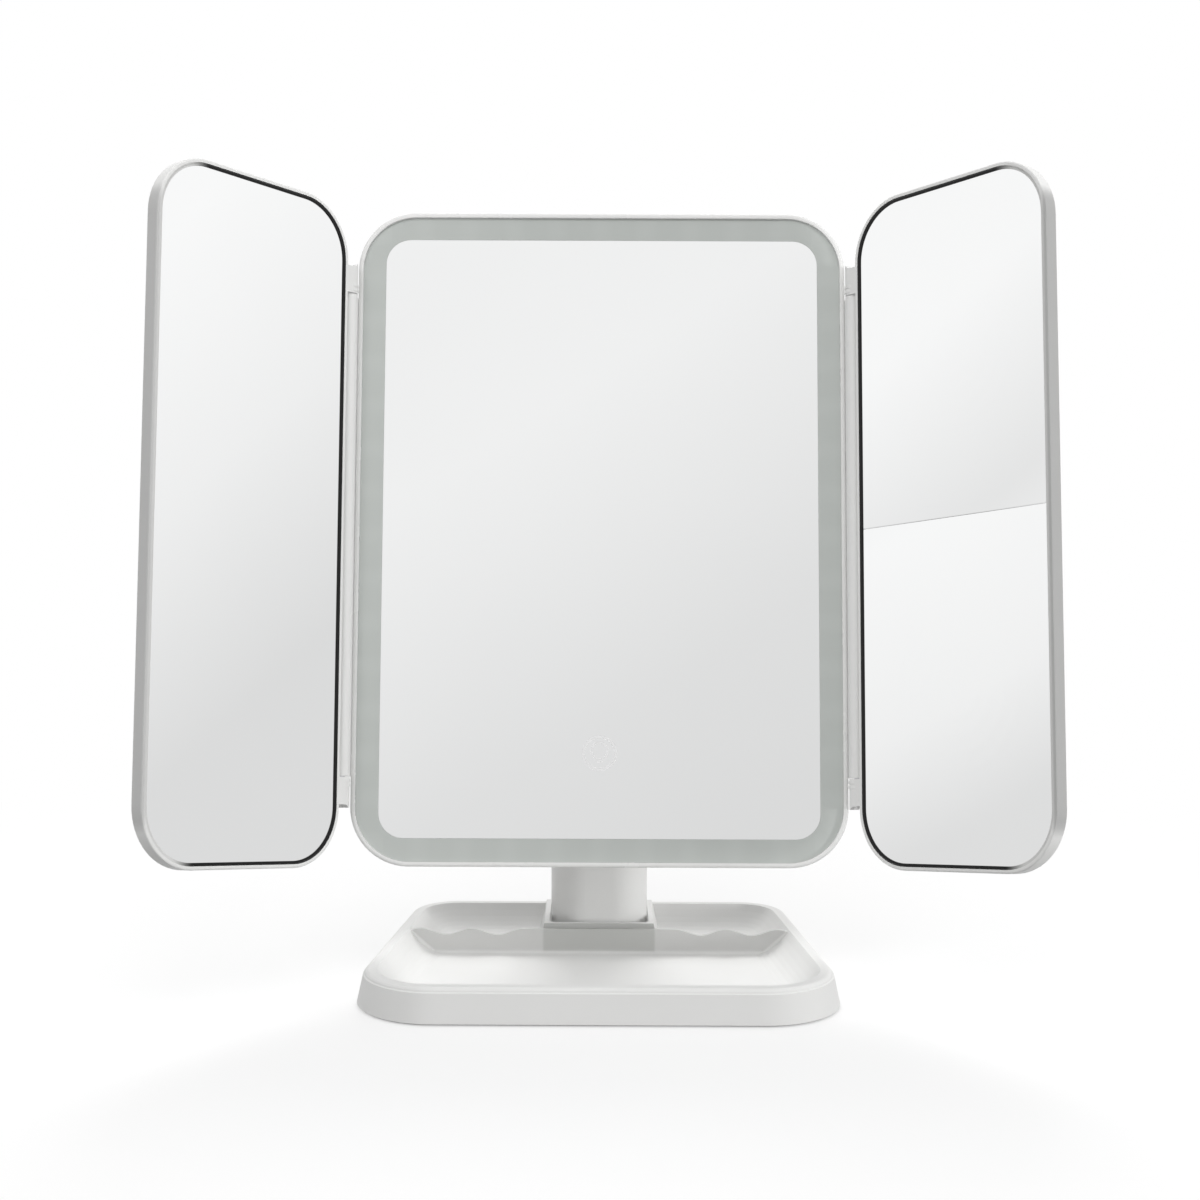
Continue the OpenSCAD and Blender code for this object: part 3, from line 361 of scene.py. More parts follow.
@dataclass(frozen=True)
class FrostedBand(Finish):
    """Frosted diffuser, unlit, with the faint row of LEDs behind it."""

    panel: PanelFrame
    colour: Colour = (0.505, 0.53, 0.51)
    spot: Colour = (0.52, 0.545, 0.525)
    beside: float = 76.4 * MM
    side_pitch: float = 15.725 * MM
    end_pitch: float = 16.09 * MM

    def fill(self, tree: Tree, shader: bpy.types.Node) -> None:
        """Adds the spots, which follow the sides' pitch beside the mirror and the ends' elsewhere."""
        place = self.panel.split_place(tree)
        ends, sides = (calc(tree, "COSINE", calc(tree, "MULTIPLY", place[axis], 2 * math.pi / pitch))
                       for axis, pitch in (("X", self.end_pitch), ("Y", self.side_pitch)))
        beside = calc(tree, "GREATER_THAN", calc(tree, "ABSOLUTE", place["X"]), self.beside)
        pick = add_node(tree, "ShaderNodeMix", {"Factor": beside, "A": ends, "B": sides}, data_type="FLOAT")
        soft = remap(tree, pick.outputs["Result"], -0.2, 1.0)
        feed(shader, {"Base Color": blend(tree, soft, rgba(self.colour), rgba(self.spot))})
        GROUPS.roughen(shader, 2200.0, 0.38, 0.48, 0.01 * MM, 0.5)


@dataclass(frozen=True)
class TrayPaintedShade(Finish):
    """Moulded base, with painted shade on the divider's and the socket's front walls, which stand in the
    head's shadow.
    """

    face: Colour = (0.78, 0.78, 0.77)
    second: Colour = (0.755, 0.755, 0.745)
    # painted shade: the divider's front wall greyer, the socket's front wall darker still
    divider: Colour = (0.62, 0.62, 0.61)
    socket: Colour = (0.50, 0.505, 0.49)
    front: float = 12.5 * MM
    back: float = 18.8 * MM
    low: float = 4.4 * MM
    half_divider: float = 60.5 * MM
    side_slope: float = 0.9
    half_socket: float = 20.6 * MM
    soft: float = 0.6 * MM

    def _past(self, tree: Tree, value: Socket, edge: float, sense: float = 1.0) -> Socket:
        """Makes a soft step from 0 to 1 where a value passes an edge, upwards for sense 1 and down for -1."""
        return remap(tree, value, edge - sense * self.soft, edge + sense * self.soft,
                     interpolation_type="SMOOTHSTEP")

    def fill(self, tree: Tree, shader: bpy.types.Node) -> None:
        """Adds the colours, with the painted shade on the divider's and the socket's front walls. The shade's
        lower edge climbs outwards, as the tray's side does.
        """
        place = split_axes(tree, object_place(tree))
        across = calc(tree, "ABSOLUTE", place["X"])
        outside = calc(tree, "MAXIMUM", calc(tree, "SUBTRACT", across, self.half_divider), 0.0)
        height = calc(tree, "MULTIPLY_ADD", outside, -self.side_slope, place["Z"])
        # mask of the divider's and the socket's front walls, where shade is painted
        wall = calc(tree, "MULTIPLY", calc(
            tree, "MULTIPLY", self._past(tree, place["Y"], self.front),
            self._past(tree, place["Y"], self.back, -1.0)), self._past(tree, height, self.low))
        # the socket's front wall takes deeper painted shade than the divider's
        inner = blend(tree, self._past(tree, across, self.half_socket, -1.0),
                      rgba(self.divider), rgba(self.socket))
        feed(shader, {"Base Color": blend(tree, wall, GROUPS.toned(tree, self.face, self.second), inner)})
        GROUPS.roughen(shader, 1600.0, 0.36, 0.46)


@dataclass(frozen=True)
class WingPaintedShade(Finish):
    """Moulded wing part, with a second colour along its free edge, which on the shell is painted shade on the
    side wall.
    """

    along: Vector
    edge: float
    face: Colour = (0.80, 0.80, 0.79)
    second: Colour = (0.775, 0.775, 0.765)
    # painted shade on the shell's side wall at the free edge; the seal sets its own pale edge here
    wall: Colour = (0.52, 0.52, 0.515)
    fade: float = 2.4 * MM
    skin: float = 0.3 * MM
    specular: float = 0.5

    def fill(self, tree: Tree, shader: bpy.types.Node) -> None:
        """Adds the colours, mixed by the distance from the free edge."""
        reach = add_node(tree, "ShaderNodeVectorMath", {0: object_place(tree), 1: self.along},
                         operation="DOT_PRODUCT")
        # near marks the free edge: painted shade on a shell's side wall, and the pale edge of a seal
        near = remap(tree, reach.outputs["Value"], self.edge - self.fade, self.edge - self.skin,
                     interpolation_type="SMOOTHSTEP")
        face = GROUPS.toned(tree, self.face, self.second)
        feed(shader, {"Base Color": blend(tree, near, face, rgba(self.wall)),
                      "Specular IOR Level": self.specular})
        GROUPS.roughen(shader, 1600.0, 0.3, 0.4)


@dataclass(frozen=True)
class CellWrap(Finish):
    """Sleeve of a battery cell, with a band at its ends and bare metal past them."""

    panel: PanelFrame
    sleeve: Colour = (0.05, 0.16, 0.11)
    band: Colour = (0.62, 0.45, 0.16)
    metal: Colour = (0.66, 0.66, 0.67)
    sleeve_end: float = 14.6 * MM
    band_end: float = 23.6 * MM

    def fill(self, tree: Tree, shader: bpy.types.Node) -> None:
        """Adds the colours by the distance from the cells' middle."""
        size = calc(tree, "ABSOLUTE", calc(tree, "ADD", self.panel.split_place(tree)["Y"], -CELL_MIDDLE))
        ends = calc(tree, "GREATER_THAN", size, self.band_end)
        wrap = blend(tree, calc(tree, "GREATER_THAN", size, self.sleeve_end),
                     rgba(self.sleeve), rgba(self.band))
        feed(shader, {"Base Color": blend(tree, ends, wrap, rgba(self.metal)), "Metallic": ends})
        GROUPS.roughen(shader, 700.0, 0.22, 0.34, depth=0.0)


# ---------------------------------------------------------------- pieces
def add_piece(name: str, mesh: bpy.types.Mesh, body: str,
              material: bpy.types.Material) -> bpy.types.Object:
    """Adds a finished mesh as a piece that rides on a body.

    Args:
        name: the piece's name.
        mesh: its mesh, already in its place.
        body: the CAD body that carries it.
        material: its finish.

    Returns:
        The piece's object.
    """
    piece = bpy.data.objects.new(name, mesh)
    bpy.context.scene.collection.objects.link(piece)
    if not mesh.materials:
        mesh.materials.append(material)
    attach(piece, body)
    log.info("made %s: %d faces", name, len(mesh.polygons))
    return piece


def input_group(name: str, sockets: dict[str, str]) -> tuple[Tree, bpy.types.NodeOutputs]:
    """Starts a Geometry Nodes tree that takes a geometry and some named inputs.

    Args:
        name: the tree's name.
        sockets: the kind of each input, such as Float, by its name.

    Returns:
        The tree and the inputs inside it.
    """
    tree = bpy.data.node_groups.new(name, "GeometryNodeTree")
    for label, kind in {"Geometry": "Geometry", **sockets, "Finish": "Material"}.items():
        tree.interface.new_socket(name=label, in_out="INPUT", socket_type=f"NodeSocket{kind}")
    tree.interface.new_socket(name="Geometry", in_out="OUTPUT", socket_type="NodeSocketGeometry")
    return tree, add_node(tree, "NodeGroupInput").outputs


def end_group(tree: Tree, into: bpy.types.NodeOutputs, geometry: Socket) -> None:
    """Ends a Geometry Nodes tree in Realize Instances and in Set Material with its input Finish."""
    real = add_node(tree, "GeometryNodeRealizeInstances", {"Geometry": geometry})
    paint = add_node(tree, "GeometryNodeSetMaterial", {
        "Geometry": real.outputs["Geometry"], "Material": into["Finish"]})
    add_node(tree, "NodeGroupOutput", {"Geometry": paint.outputs["Geometry"]})


def run_group(name: str, start: bpy.types.Mesh, tree: Tree, values: dict[str, object]) -> bpy.types.Mesh:
    """Runs a Geometry Nodes tree on a mesh and gives what it makes as a plain mesh.

    Args:
        name: the new mesh's name.
        start: the mesh that the tree takes.
        tree: the tree.
        values: the tree's inputs by name.

    Returns:
        The plain mesh.
    """
    carrier = bpy.data.objects.new(f"{name}_carrier", start)
    bpy.context.scene.collection.objects.link(carrier)
    ident = {s.name: s.identifier for s in tree.interface.items_tree if s.in_out == "INPUT"}
    nodes = carrier.modifiers.new(name, "NODES")
    nodes.node_group = tree
    for key, value in values.items():
        nodes[ident[key]] = value
    graph = bpy.context.evaluated_depsgraph_get()
    mesh = bpy.data.meshes.new_from_object(carrier.evaluated_get(graph))
    mesh.name = name
    bpy.data.objects.remove(carrier)
    return mesh


class Side(Enum):
    """Which wing."""

    LEFT = "left"
    RIGHT = "right"

    @property
    def sense(self) -> float:
        """Gives -1 for the left wing and 1 for the right one."""
        return -1.0 if self is Side.LEFT else 1.0


@dataclass
class Finishes:
    """Every material of the mirror, built once."""

    panel: PanelFrame
    made: dict[str, bpy.types.Material] = field(default_factory=dict)

    def build(self) -> None:
        """Builds the materials."""
        plans = {
            "shell": Moulded("WhiteShell", (0.80, 0.80, 0.79), (0.775, 0.775, 0.765)),
            "rim": Moulded("WhiteRim", (0.84, 0.84, 0.83), (0.81, 0.81, 0.80), 0.22, 0.3, coat=0.1),
            "base": TrayPaintedShade("WhiteBase"),
            "neck": Moulded("WhiteNeck", (0.80, 0.80, 0.79), (0.78, 0.78, 0.77), 0.3, 0.33, coat=0.1),
            "foam": Moulded("FoamPad", (0.06, 0.06, 0.062), (0.09, 0.09, 0.092), 0.75, 0.9,
                            grain_scale=900.0, grain_depth=0.0002, specular=0.25),
            "dark": Moulded("DarkPart", (0.03, 0.03, 0.032), (0.045, 0.045, 0.047), 0.4, 0.55),
            "board": Moulded("BoardMask", (0.02, 0.12, 0.055), (0.03, 0.16, 0.075), 0.3, 0.45, coat=0.2),
            "diode": Moulded("DiodeGel", (0.86, 0.74, 0.36), (0.8, 0.66, 0.3), 0.2, 0.3, coat=0.3),
            "strip": Moulded("StripWhite", (0.78, 0.76, 0.68), (0.74, 0.72, 0.63), 0.4, 0.5),
            "lead": Moulded("LeadSleeve", (0.5, 0.04, 0.03), (0.42, 0.03, 0.025), 0.35, 0.5),
            "washer": Moulded("NylonWasher", (0.05, 0.05, 0.052), (0.07, 0.07, 0.07), 0.45, 0.6),
            "ink": Moulded("SymbolInk", (0.96, 0.96, 0.96), (0.93, 0.93, 0.93), 0.35, 0.45, tone_scale=200.0),
            "steel": Metal("ZincSteel", (0.60, 0.60, 0.61), (0.52, 0.52, 0.54)),
            "weight": Metal("WeightSteel", (0.50, 0.50, 0.51), (0.42, 0.42, 0.43), stretch=(14.0, 1.0, 1.0)),
            "brass": Metal("BushBrass", (0.72, 0.56, 0.28), (0.62, 0.47, 0.22)),
            "mirror": SilveredGlass("SilveredGlass"),
            "left_wing": self._wing(Side.LEFT),
            # the right wing's side wall gets deeper painted shade than the left's
            "right_wing": self._wing(Side.RIGHT, wall=(0.42, 0.42, 0.415)),
            "left_seal": self._seal(Side.LEFT),
            "right_seal": self._seal(Side.RIGHT),
            "band": FrostedBand("FrostedBand", self.panel),
            "cell": CellWrap("CellWrap", self.panel),
        }
        self.made = {key: plan.build() for key, plan in plans.items()}

    def _wing(self, side: Side, part: str = "WingShell", **looks) -> WingPaintedShade:
        """Plans the painted shade of a wing's part, with the free edge read from the wing's shell.

        Args:
            side: which wing.
            part: the part, for the material's name.
            **looks: the part's own colours and values, painted shade among them.

        Returns:
            The plan of the part's colours and painted shade.
        """
        along = self.panel.along_wing(side.sense)
        shell = frame["nodes"][f"{side.value}_wing_shell"].data
        edge = max(corner.co.dot(along) for corner in shell.vertices)
        return WingPaintedShade(f"{side.value.capitalize()}{part}", along, edge, **looks)

    def _seal(self, side: Side) -> WingPaintedShade:
        """Plans a wing's seal: black, and pale round the free edge, as in the photo."""
        # The seal's black stands partly for a real black gasket and partly for painted shade in the glass's
        # recess; it is painted pale round the free edge, where that shade does not fall.
        return self._wing(side, "Seal", face=(0.004, 0.004, 0.004), second=(0.008, 0.008, 0.008),
                          wall=(0.66, 0.66, 0.65), fade=0.022, skin=0.013, specular=0.2)

    def __getitem__(self, key: str) -> bpy.types.Material:
        """Gives a material by its key."""
        return self.made[key]

    def dress(self, plan: dict[str, str]) -> None:
        """Gives CAD nodes their finishes.

        Args:
            plan: the finish's key by the node's name.
        """
        for node, key in plan.items():
            mesh = frame["nodes"][node].data
            mesh.materials.clear()
            mesh.materials.append(self[key])
            log.info("dressed %s in %s", node, self[key].name)


@dataclass
class TrayBase:
    """The tray base with its weight, pad and screws."""

    finishes: Finishes

    def build(self) -> None:
        """Dresses the base's nodes."""
        self.finishes.dress({"base_shell": "base", "weight_plate": "weight", "antislip_pad": "foam",
                             "base_screws": "steel"})


@dataclass
class Neck:
    """The oval neck and the tilt hinge at its top."""

    finishes: Finishes

    def build(self) -> None:
        """Dresses the neck's and the tilt hinge's nodes."""
        self.finishes.dress({
            "neck_column": "neck", "neck_screws": "steel", "tilt_bush": "brass", "tilt_axle": "steel",
            "tilt_washers": "washer", "tilt_nut": "steel", "tilt_caps": "shell", "tilt_bracket": "shell",
            "bracket_screws": "steel"})


@dataclass
class TouchSymbol:
    """The ring and bulb printed behind the glass, drawn in flat strokes."""

    panel: PanelFrame
    finishes: Finishes
    below_middle: float = 78 * MM
    ring_r: float = 5.7 * MM
    ring_w: float = 0.95 * MM
    bulb_r: float = 2.9 * MM
    bulb_up: float = 0.9 * MM
    stroke: float = 0.75 * MM
    lift: float = 0.03 * MM
    depth: float = 0.03 * MM
    steps: int = 96
    bulb_span: tuple[float, float] = (-50.0, 230.0)
    bulb_steps: int = 60
    bars: tuple[tuple[float, float], ...] = ((-2.1 * MM, 1.5 * MM), (-3.0 * MM, 1.1 * MM))
    bar_w: float = 0.525 * MM

    def _stroke(self, mesh: bmesh.types.BMesh, points: list[Vector], width: float, closed: bool) -> None:
        """Draws one flat stroke of even width with a little depth.

        Args:
            mesh: the mesh that gets the stroke.
            points: the stroke's middle line, on the glass.
            width: the stroke's width.
            closed: whether the line closes on itself.
        """
        count = len(points)
        rows = []
        for i, point in enumerate(points):
            before = points[(i - 1) % count] if closed or i else points[i]
            after = points[(i + 1) % count] if closed or i < count - 1 else points[i]
            along = (after - before).normalized()
            across = Vector((-along.y, along.x, 0)) * width / 2
            rows.append([mesh.verts.new(point + across * s + Vector((0, 0, z)))
                         for s, z in ((-1, 0), (1, 0), (1, self.depth), (-1, self.depth))])
        for i in range(count if closed else count - 1):
            one, two = rows[i], rows[(i + 1) % count]
            for a in range(4):
                b = (a + 1) % 4
                mesh.faces.new((one[a], one[b], two[b], two[a]))
        if not closed:
            mesh.faces.new(rows[0])
            mesh.faces.new(list(reversed(rows[-1])))

    def _arc(self, centre: Vector, radius: float, start: float, stop: float, steps: int) -> list[Vector]:
        """Gives points along an arc.

        Args:
            centre: the arc's centre.
            radius: its radius.
            start: first angle in degrees.
            stop: last angle in degrees.
            steps: number of points.

        Returns:
            The points.
        """
        turns = [math.radians(start + (stop - start) * i / (steps - 1)) for i in range(steps)]
        return [centre + Vector((math.cos(t), math.sin(t), 0)) * radius for t in turns]

    def build(self) -> bpy.types.Object:
        """Builds the symbol's piece."""
        middle = Vector((0, -self.below_middle, self.lift))
        bulb = middle + Vector((0, self.bulb_up, 0))
        work = bmesh.new()
        self._stroke(work, self._arc(middle, self.ring_r, 0, 360 - 360 / self.steps, self.steps),
                     self.ring_w, True)
        self._stroke(work, self._arc(bulb, self.bulb_r, *self.bulb_span, self.bulb_steps),
                     self.stroke, False)
        for up, half in self.bars:
            self._stroke(work, [middle + Vector((x, up, 0)) for x in (-half, half)], self.bar_w, False)
        bmesh.ops.recalc_face_normals(work, faces=work.faces)
        mesh = bpy.data.meshes.new("touch_symbol")
        work.to_mesh(mesh)
        work.free()
        mesh.transform(self.panel.matrix)
        return add_piece("touch_symbol", mesh, "head", self.finishes["ink"])


@dataclass
class HousingScrews:
    """The six cross-recessed screws in the rear housing, placed by Geometry Nodes."""

    panel: PanelFrame
    finishes: Finishes
    column: float = 66.05 * MM
    row: float = 96.05 * MM
    seat: float = -9.0 * MM
    head_r: float = 2.7 * MM
    head_h: float = 1.2 * MM
    shank_r: float = 1.25 * MM
    shank: float = 5.4 * MM
    cross: float = 1.5 * MM
    cross_w: float = 0.32 * MM
    cross_deep: float = 0.7 * MM
    sides: int = 32
    seed: int = 4

    def _screw(self) -> bpy.types.Mesh:
        """Builds one screw, its head facing down at the origin."""
        work = bmesh.new()
        crown = [(self.head_r * 0.86, -self.head_h), (self.head_r * 0.97, -self.head_h * 0.8),
                 (self.head_r, -self.head_h * 0.5), (self.head_r, 0.0), (self.shank_r, 0.0),
                 (self.shank_r, self.shank - 0.4 * MM), (self.shank_r * 0.5, self.shank)]
        rings = [[work.verts.new((r * math.cos(2 * math.pi * i / self.sides),
                                  r * math.sin(2 * math.pi * i / self.sides), z))
                  for i in range(self.sides)] for r, z in crown]
        for low, high in zip(rings, rings[1:]):
            for i in range(self.sides):
                j = (i + 1) % self.sides
                work.faces.new((low[i], low[j], high[j], high[i]))
        work.faces.new(rings[-1])
        a, w = self.cross, self.cross_w
        outline = [(a, w), (w, w), (w, a), (-w, a), (-w, w), (-a, w),
                   (-a, -w), (-w, -w), (-w, -a), (w, -a), (w, -w), (a, -w)]
        top = [work.verts.new((x, y, -self.head_h)) for x, y in outline]
        deep = [work.verts.new((x * 0.75, y * 0.75, -self.head_h + self.cross_deep)) for x, y in outline]
        edges = [work.edges.new((top[i], top[(i + 1) % 12])) for i in range(12)]
        rim = [work.edges.get((rings[0][i], rings[0][(i + 1) % self.sides])) for i in range(self.sides)]
        bmesh.ops.triangle_fill(work, use_beauty=True, edges=edges + rim)
        for i in range(12):
            j = (i + 1) % 12
            work.faces.new((top[i], top[j], deep[j], deep[i]))
        work.faces.new(deep)
        bmesh.ops.recalc_face_normals(work, faces=work.faces)
        mesh = bpy.data.meshes.new("screw")
        work.to_mesh(mesh)
        work.free()
        return mesh

    def _tree(self) -> Tree:
        """Builds the tree that sets a screw on each point, each turned by its own angle."""
        tree, into = input_group("ScrewRow", {"Screw": "Object", "Most turn": "Float", "Seed": "Int"})
        info = add_node(tree, "GeometryNodeObjectInfo", {"Object": into["Screw"]})
        turn = add_node(tree, "FunctionNodeRandomValue", {3: into["Most turn"], "Seed": into["Seed"]},
                        data_type="FLOAT")
        spin = add_node(tree, "ShaderNodeCombineXYZ", {"Z": turn.outputs[1]})
        put = add_node(tree, "GeometryNodeInstanceOnPoints", {
            "Points": into["Geometry"], "Instance": info.outputs["Geometry"],
            "Rotation": spin.outputs["Vector"]})
        end_group(tree, into, put.outputs["Instances"])
        return tree

    def build(self) -> bpy.types.Object:
        """Builds the screws in the panel's frame and stands them up."""
        pattern = bpy.data.objects.new("screw_pattern", self._screw())
        bpy.context.scene.collection.objects.link(pattern)
        spots = bpy.data.meshes.new("screw_spots")
        spots.from_pydata([(x * self.column, y * self.row, self.seat)
                           for x in (-1, 1) for y in (-1, 0, 1)], [], [])
        mesh = run_group("cross_screws", spots, self._tree(), {
            "Screw": pattern, "Most turn": math.pi / 2, "Seed": self.seed,
            "Finish": self.finishes["steel"]})
        bpy.data.objects.remove(pattern)
        mesh.transform(self.panel.matrix)
        piece = add_piece(mesh.name, mesh, "head", self.finishes["steel"])
        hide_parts("housing_screws")
        return piece


@dataclass
class CentrePanel:
    """The lit centre panel with its housing, glass, band and control."""

    panel: PanelFrame
    finishes: Finishes

    def build(self) -> None:
        """Dresses the panel's nodes and adds the symbol and the screws."""
        self.finishes.dress({
            "rear_housing": "shell", "front_frame": "rim", "light_band": "band", "centre_mirror": "mirror",
            "middle_plate": "shell", "led_strip": "strip", "leds": "diode", "control_board": "board",
            "board_parts": "dark", "touch_electrode": "brass", "usb_inlet": "steel",
            "switch_body": "dark", "power_switch_knob": "dark"})
        TouchSymbol(self.panel, self.finishes).build()
        HousingScrews(self.panel, self.finishes).build()


@dataclass
class BatteryBay:
    """The battery bay behind its sliding door."""

    finishes: Finishes

    def build(self) -> None:
        """Dresses the bay's nodes."""
        self.finishes.dress({"battery_door": "shell", "aa_cells": "cell", "battery_contacts": "steel",
                             "battery_leads": "lead"})


@dataclass
class Wing:
    """One side mirror with its shell, seal, pad and hinge pins."""

    side: Side
    finishes: Finishes
    upper_hollow_r: float = 3600.0 * MM
    lower_hollow_r: float = 2600.0 * MM
    face_limit: float = 0.9

    @property
    def axes(self) -> tuple[Vector, Vector, Vector]:
        """Gives the wing's own axes at rest: to the right, up, and out of its glass."""
        along, up = self.finishes.panel.along_wing(self.side.sense), self.finishes.panel.up
        return along * self.side.sense, up, along.cross(up) * self.side.sense

    def reach(self, mesh: bpy.types.Mesh) -> list[tuple[float, float]]:
        """Gives a mesh's least and greatest place along each of the wing's axes."""
        places = [[corner.co.dot(axis) for corner in mesh.vertices] for axis in self.axes]
        return [(min(row), max(row)) for row in places]

    def _smooth_glass(self, node: str, name: str, hollow_r: float) -> bpy.types.Object:
        """Makes a hollow glass anew from its node, with the hollow's own normals over its face.

        Args:
            node: the CAD node that it stands for.
            name: the new piece's name.
            hollow_r: the hollow's radius.

        Returns:
            The glass.
        """
        work = bmesh.new()
        work.from_mesh(frame["nodes"][node].data)
        bmesh.ops.remove_doubles(work, verts=work.verts, dist=MERGE)
        for face in work.faces:
            face.smooth = True
        mesh = bpy.data.meshes.new(name)
        work.to_mesh(mesh)
        work.free()
        *flat, out = self.axes
        middle = Vector((0, 0, 0))
        for axis, (low, high) in zip(flat, self.reach(mesh)):
            middle += axis * (low + high) / 2
        normals = []
        for face in mesh.polygons:
            hollow = face.normal.dot(out) > self.face_limit
            for corner in face.vertices:
                away = mesh.vertices[corner].co - middle
                away -= out * away.dot(out)
                normals.append((out - away / hollow_r).normalized() if hollow else face.normal.copy())
        mesh.normals_split_custom_set(normals)
        piece = add_piece(name, mesh, f"{self.side.value}_wing", self.finishes["mirror"])
        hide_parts(node)
        return piece

    def build(self) -> None:
        """Dresses the wing's nodes, remakes its hollow glasses and adds the seal's lip."""
        name = self.side.value
        if self.side is Side.LEFT:
            self.finishes.dress({"left_wing_mirror": "mirror"})
        else:
            for part, hollow_r in (("upper", self.upper_hollow_r), ("lower", self.lower_hollow_r)):
                self._smooth_glass(f"right_{part}_mirror", f"right_{part}_glass", hollow_r)
        self.finishes.dress({f"{name}_wing_shell": f"{name}_wing", f"{name}_wing_seal": f"{name}_seal",
                             f"{name}_wing_pad": "foam", f"{name}_hinge_pins": "steel"})
        SealLip(self).build()


@dataclass
class SealLip:
    """The soft lip of a wing's seal, over the edge of the glass, swept by Geometry Nodes. Its black widens
    the dark line round the glass, partly a real gasket and partly painted shade of the recess wall.
    """

    wing: Wing
    inset: float = 0.15 * MM
    width: float = 1.0 * MM
    height: float = 0.6 * MM
    drop: float = 0.84 * MM
    corner_r: float = 19.0 * MM
    soft: float = 0.12 * MM
    corner_steps: int = 24
    soft_steps: int = 3

    def _tree(self) -> Tree:
        """Builds the tree that sweeps the lip's rounded section along a rounded rectangle."""
        labels = ("Width", "Height", "Corner", "Lip width", "Lip height", "Soft")
        tree, into = input_group("SealLip", dict.fromkeys(labels, "Float"))
        rounded = []
        for (width, height, radius), count in ((labels[:3], self.corner_steps),
                                               (labels[3:], self.soft_steps)):
            box = add_node(tree, "GeometryNodeCurvePrimitiveQuadrilateral", {
                "Width": into[width], "Height": into[height]})
            fillet = add_node(tree, "GeometryNodeFilletCurve", {
                "Curve": box.outputs["Curve"], "Count": count, "Radius": into[radius]}, mode="POLY")
            rounded.append(fillet.outputs["Curve"])
        sweep = add_node(tree, "GeometryNodeCurveToMesh", {
            "Curve": rounded[0], "Profile Curve": rounded[1]})
        end_group(tree, into, sweep.outputs["Mesh"])
        return tree

    def build(self) -> bpy.types.Object:
        """Builds the lip in its wing's plane, from the reach of the seal's CAD mesh."""
        name = self.wing.side.value
        paint = self.wing.finishes[f"{name}_seal"]
        across, up, out = self.wing.reach(frame["nodes"][f"{name}_wing_seal"].data)
        inner = 2 * self.inset + self.width
        mesh = run_group(f"{name}_seal_lip", bpy.data.meshes.new("lip_start"), self._tree(), {
            "Width": across[1] - across[0] - inner, "Height": up[1] - up[0] - inner,
            "Corner": self.corner_r, "Lip width": self.width, "Lip height": self.height,
            "Soft": self.soft, "Finish": paint})
        work = bmesh.new()
        work.from_mesh(mesh)
        bmesh.ops.recalc_face_normals(work, faces=work.faces)
        work.to_mesh(mesh)
        work.free()
        axes = self.wing.axes
        middle = (sum(across) / 2, sum(up) / 2, out[1] - self.drop + self.height / 2)
        place = sum((axis * value for axis, value in zip(axes, middle)), Vector((0, 0, 0)))
        mesh.transform(Matrix([[*(axis[i] for axis in axes), place[i]] for i in range(3)] + [[0, 0, 0, 1]]))
        return add_piece(mesh.name, mesh, f"{name}_wing", paint)


# ---------------------------------------------------------------- studio
@dataclass(frozen=True)
class Sweep:
    """One wall of the studio as the glass shows it, shaded from grey to white."""

    lean: Colour
    stops: tuple[tuple[float, float], ...]
    base: float = 0.1

    def build(self, tree: Tree, direction: Socket) -> Socket:
        """Builds the wall's shade, read along its lean.

        Args:
            tree: the world's tree.
            direction: the ray's direction.

        Returns:
            The shade's colour.
        """
        height = add_node(tree, "ShaderNodeVectorMath", {0: direction, 1: self.lean}, operation="DOT_PRODUCT")
        ramp = add_node(tree, "ShaderNodeValToRGB", {
            "Fac": calc(tree, "ADD", height.outputs["Value"], self.base)})
        steps = ramp.color_ramp.elements
        while len(steps) < len(self.stops):
            steps.new(0.5)
        for step, (place, shade) in zip(steps, self.stops):
            step.position = place + self.base
            step.color = rgba((shade,) * 3)
        return ramp.outputs["Color"]


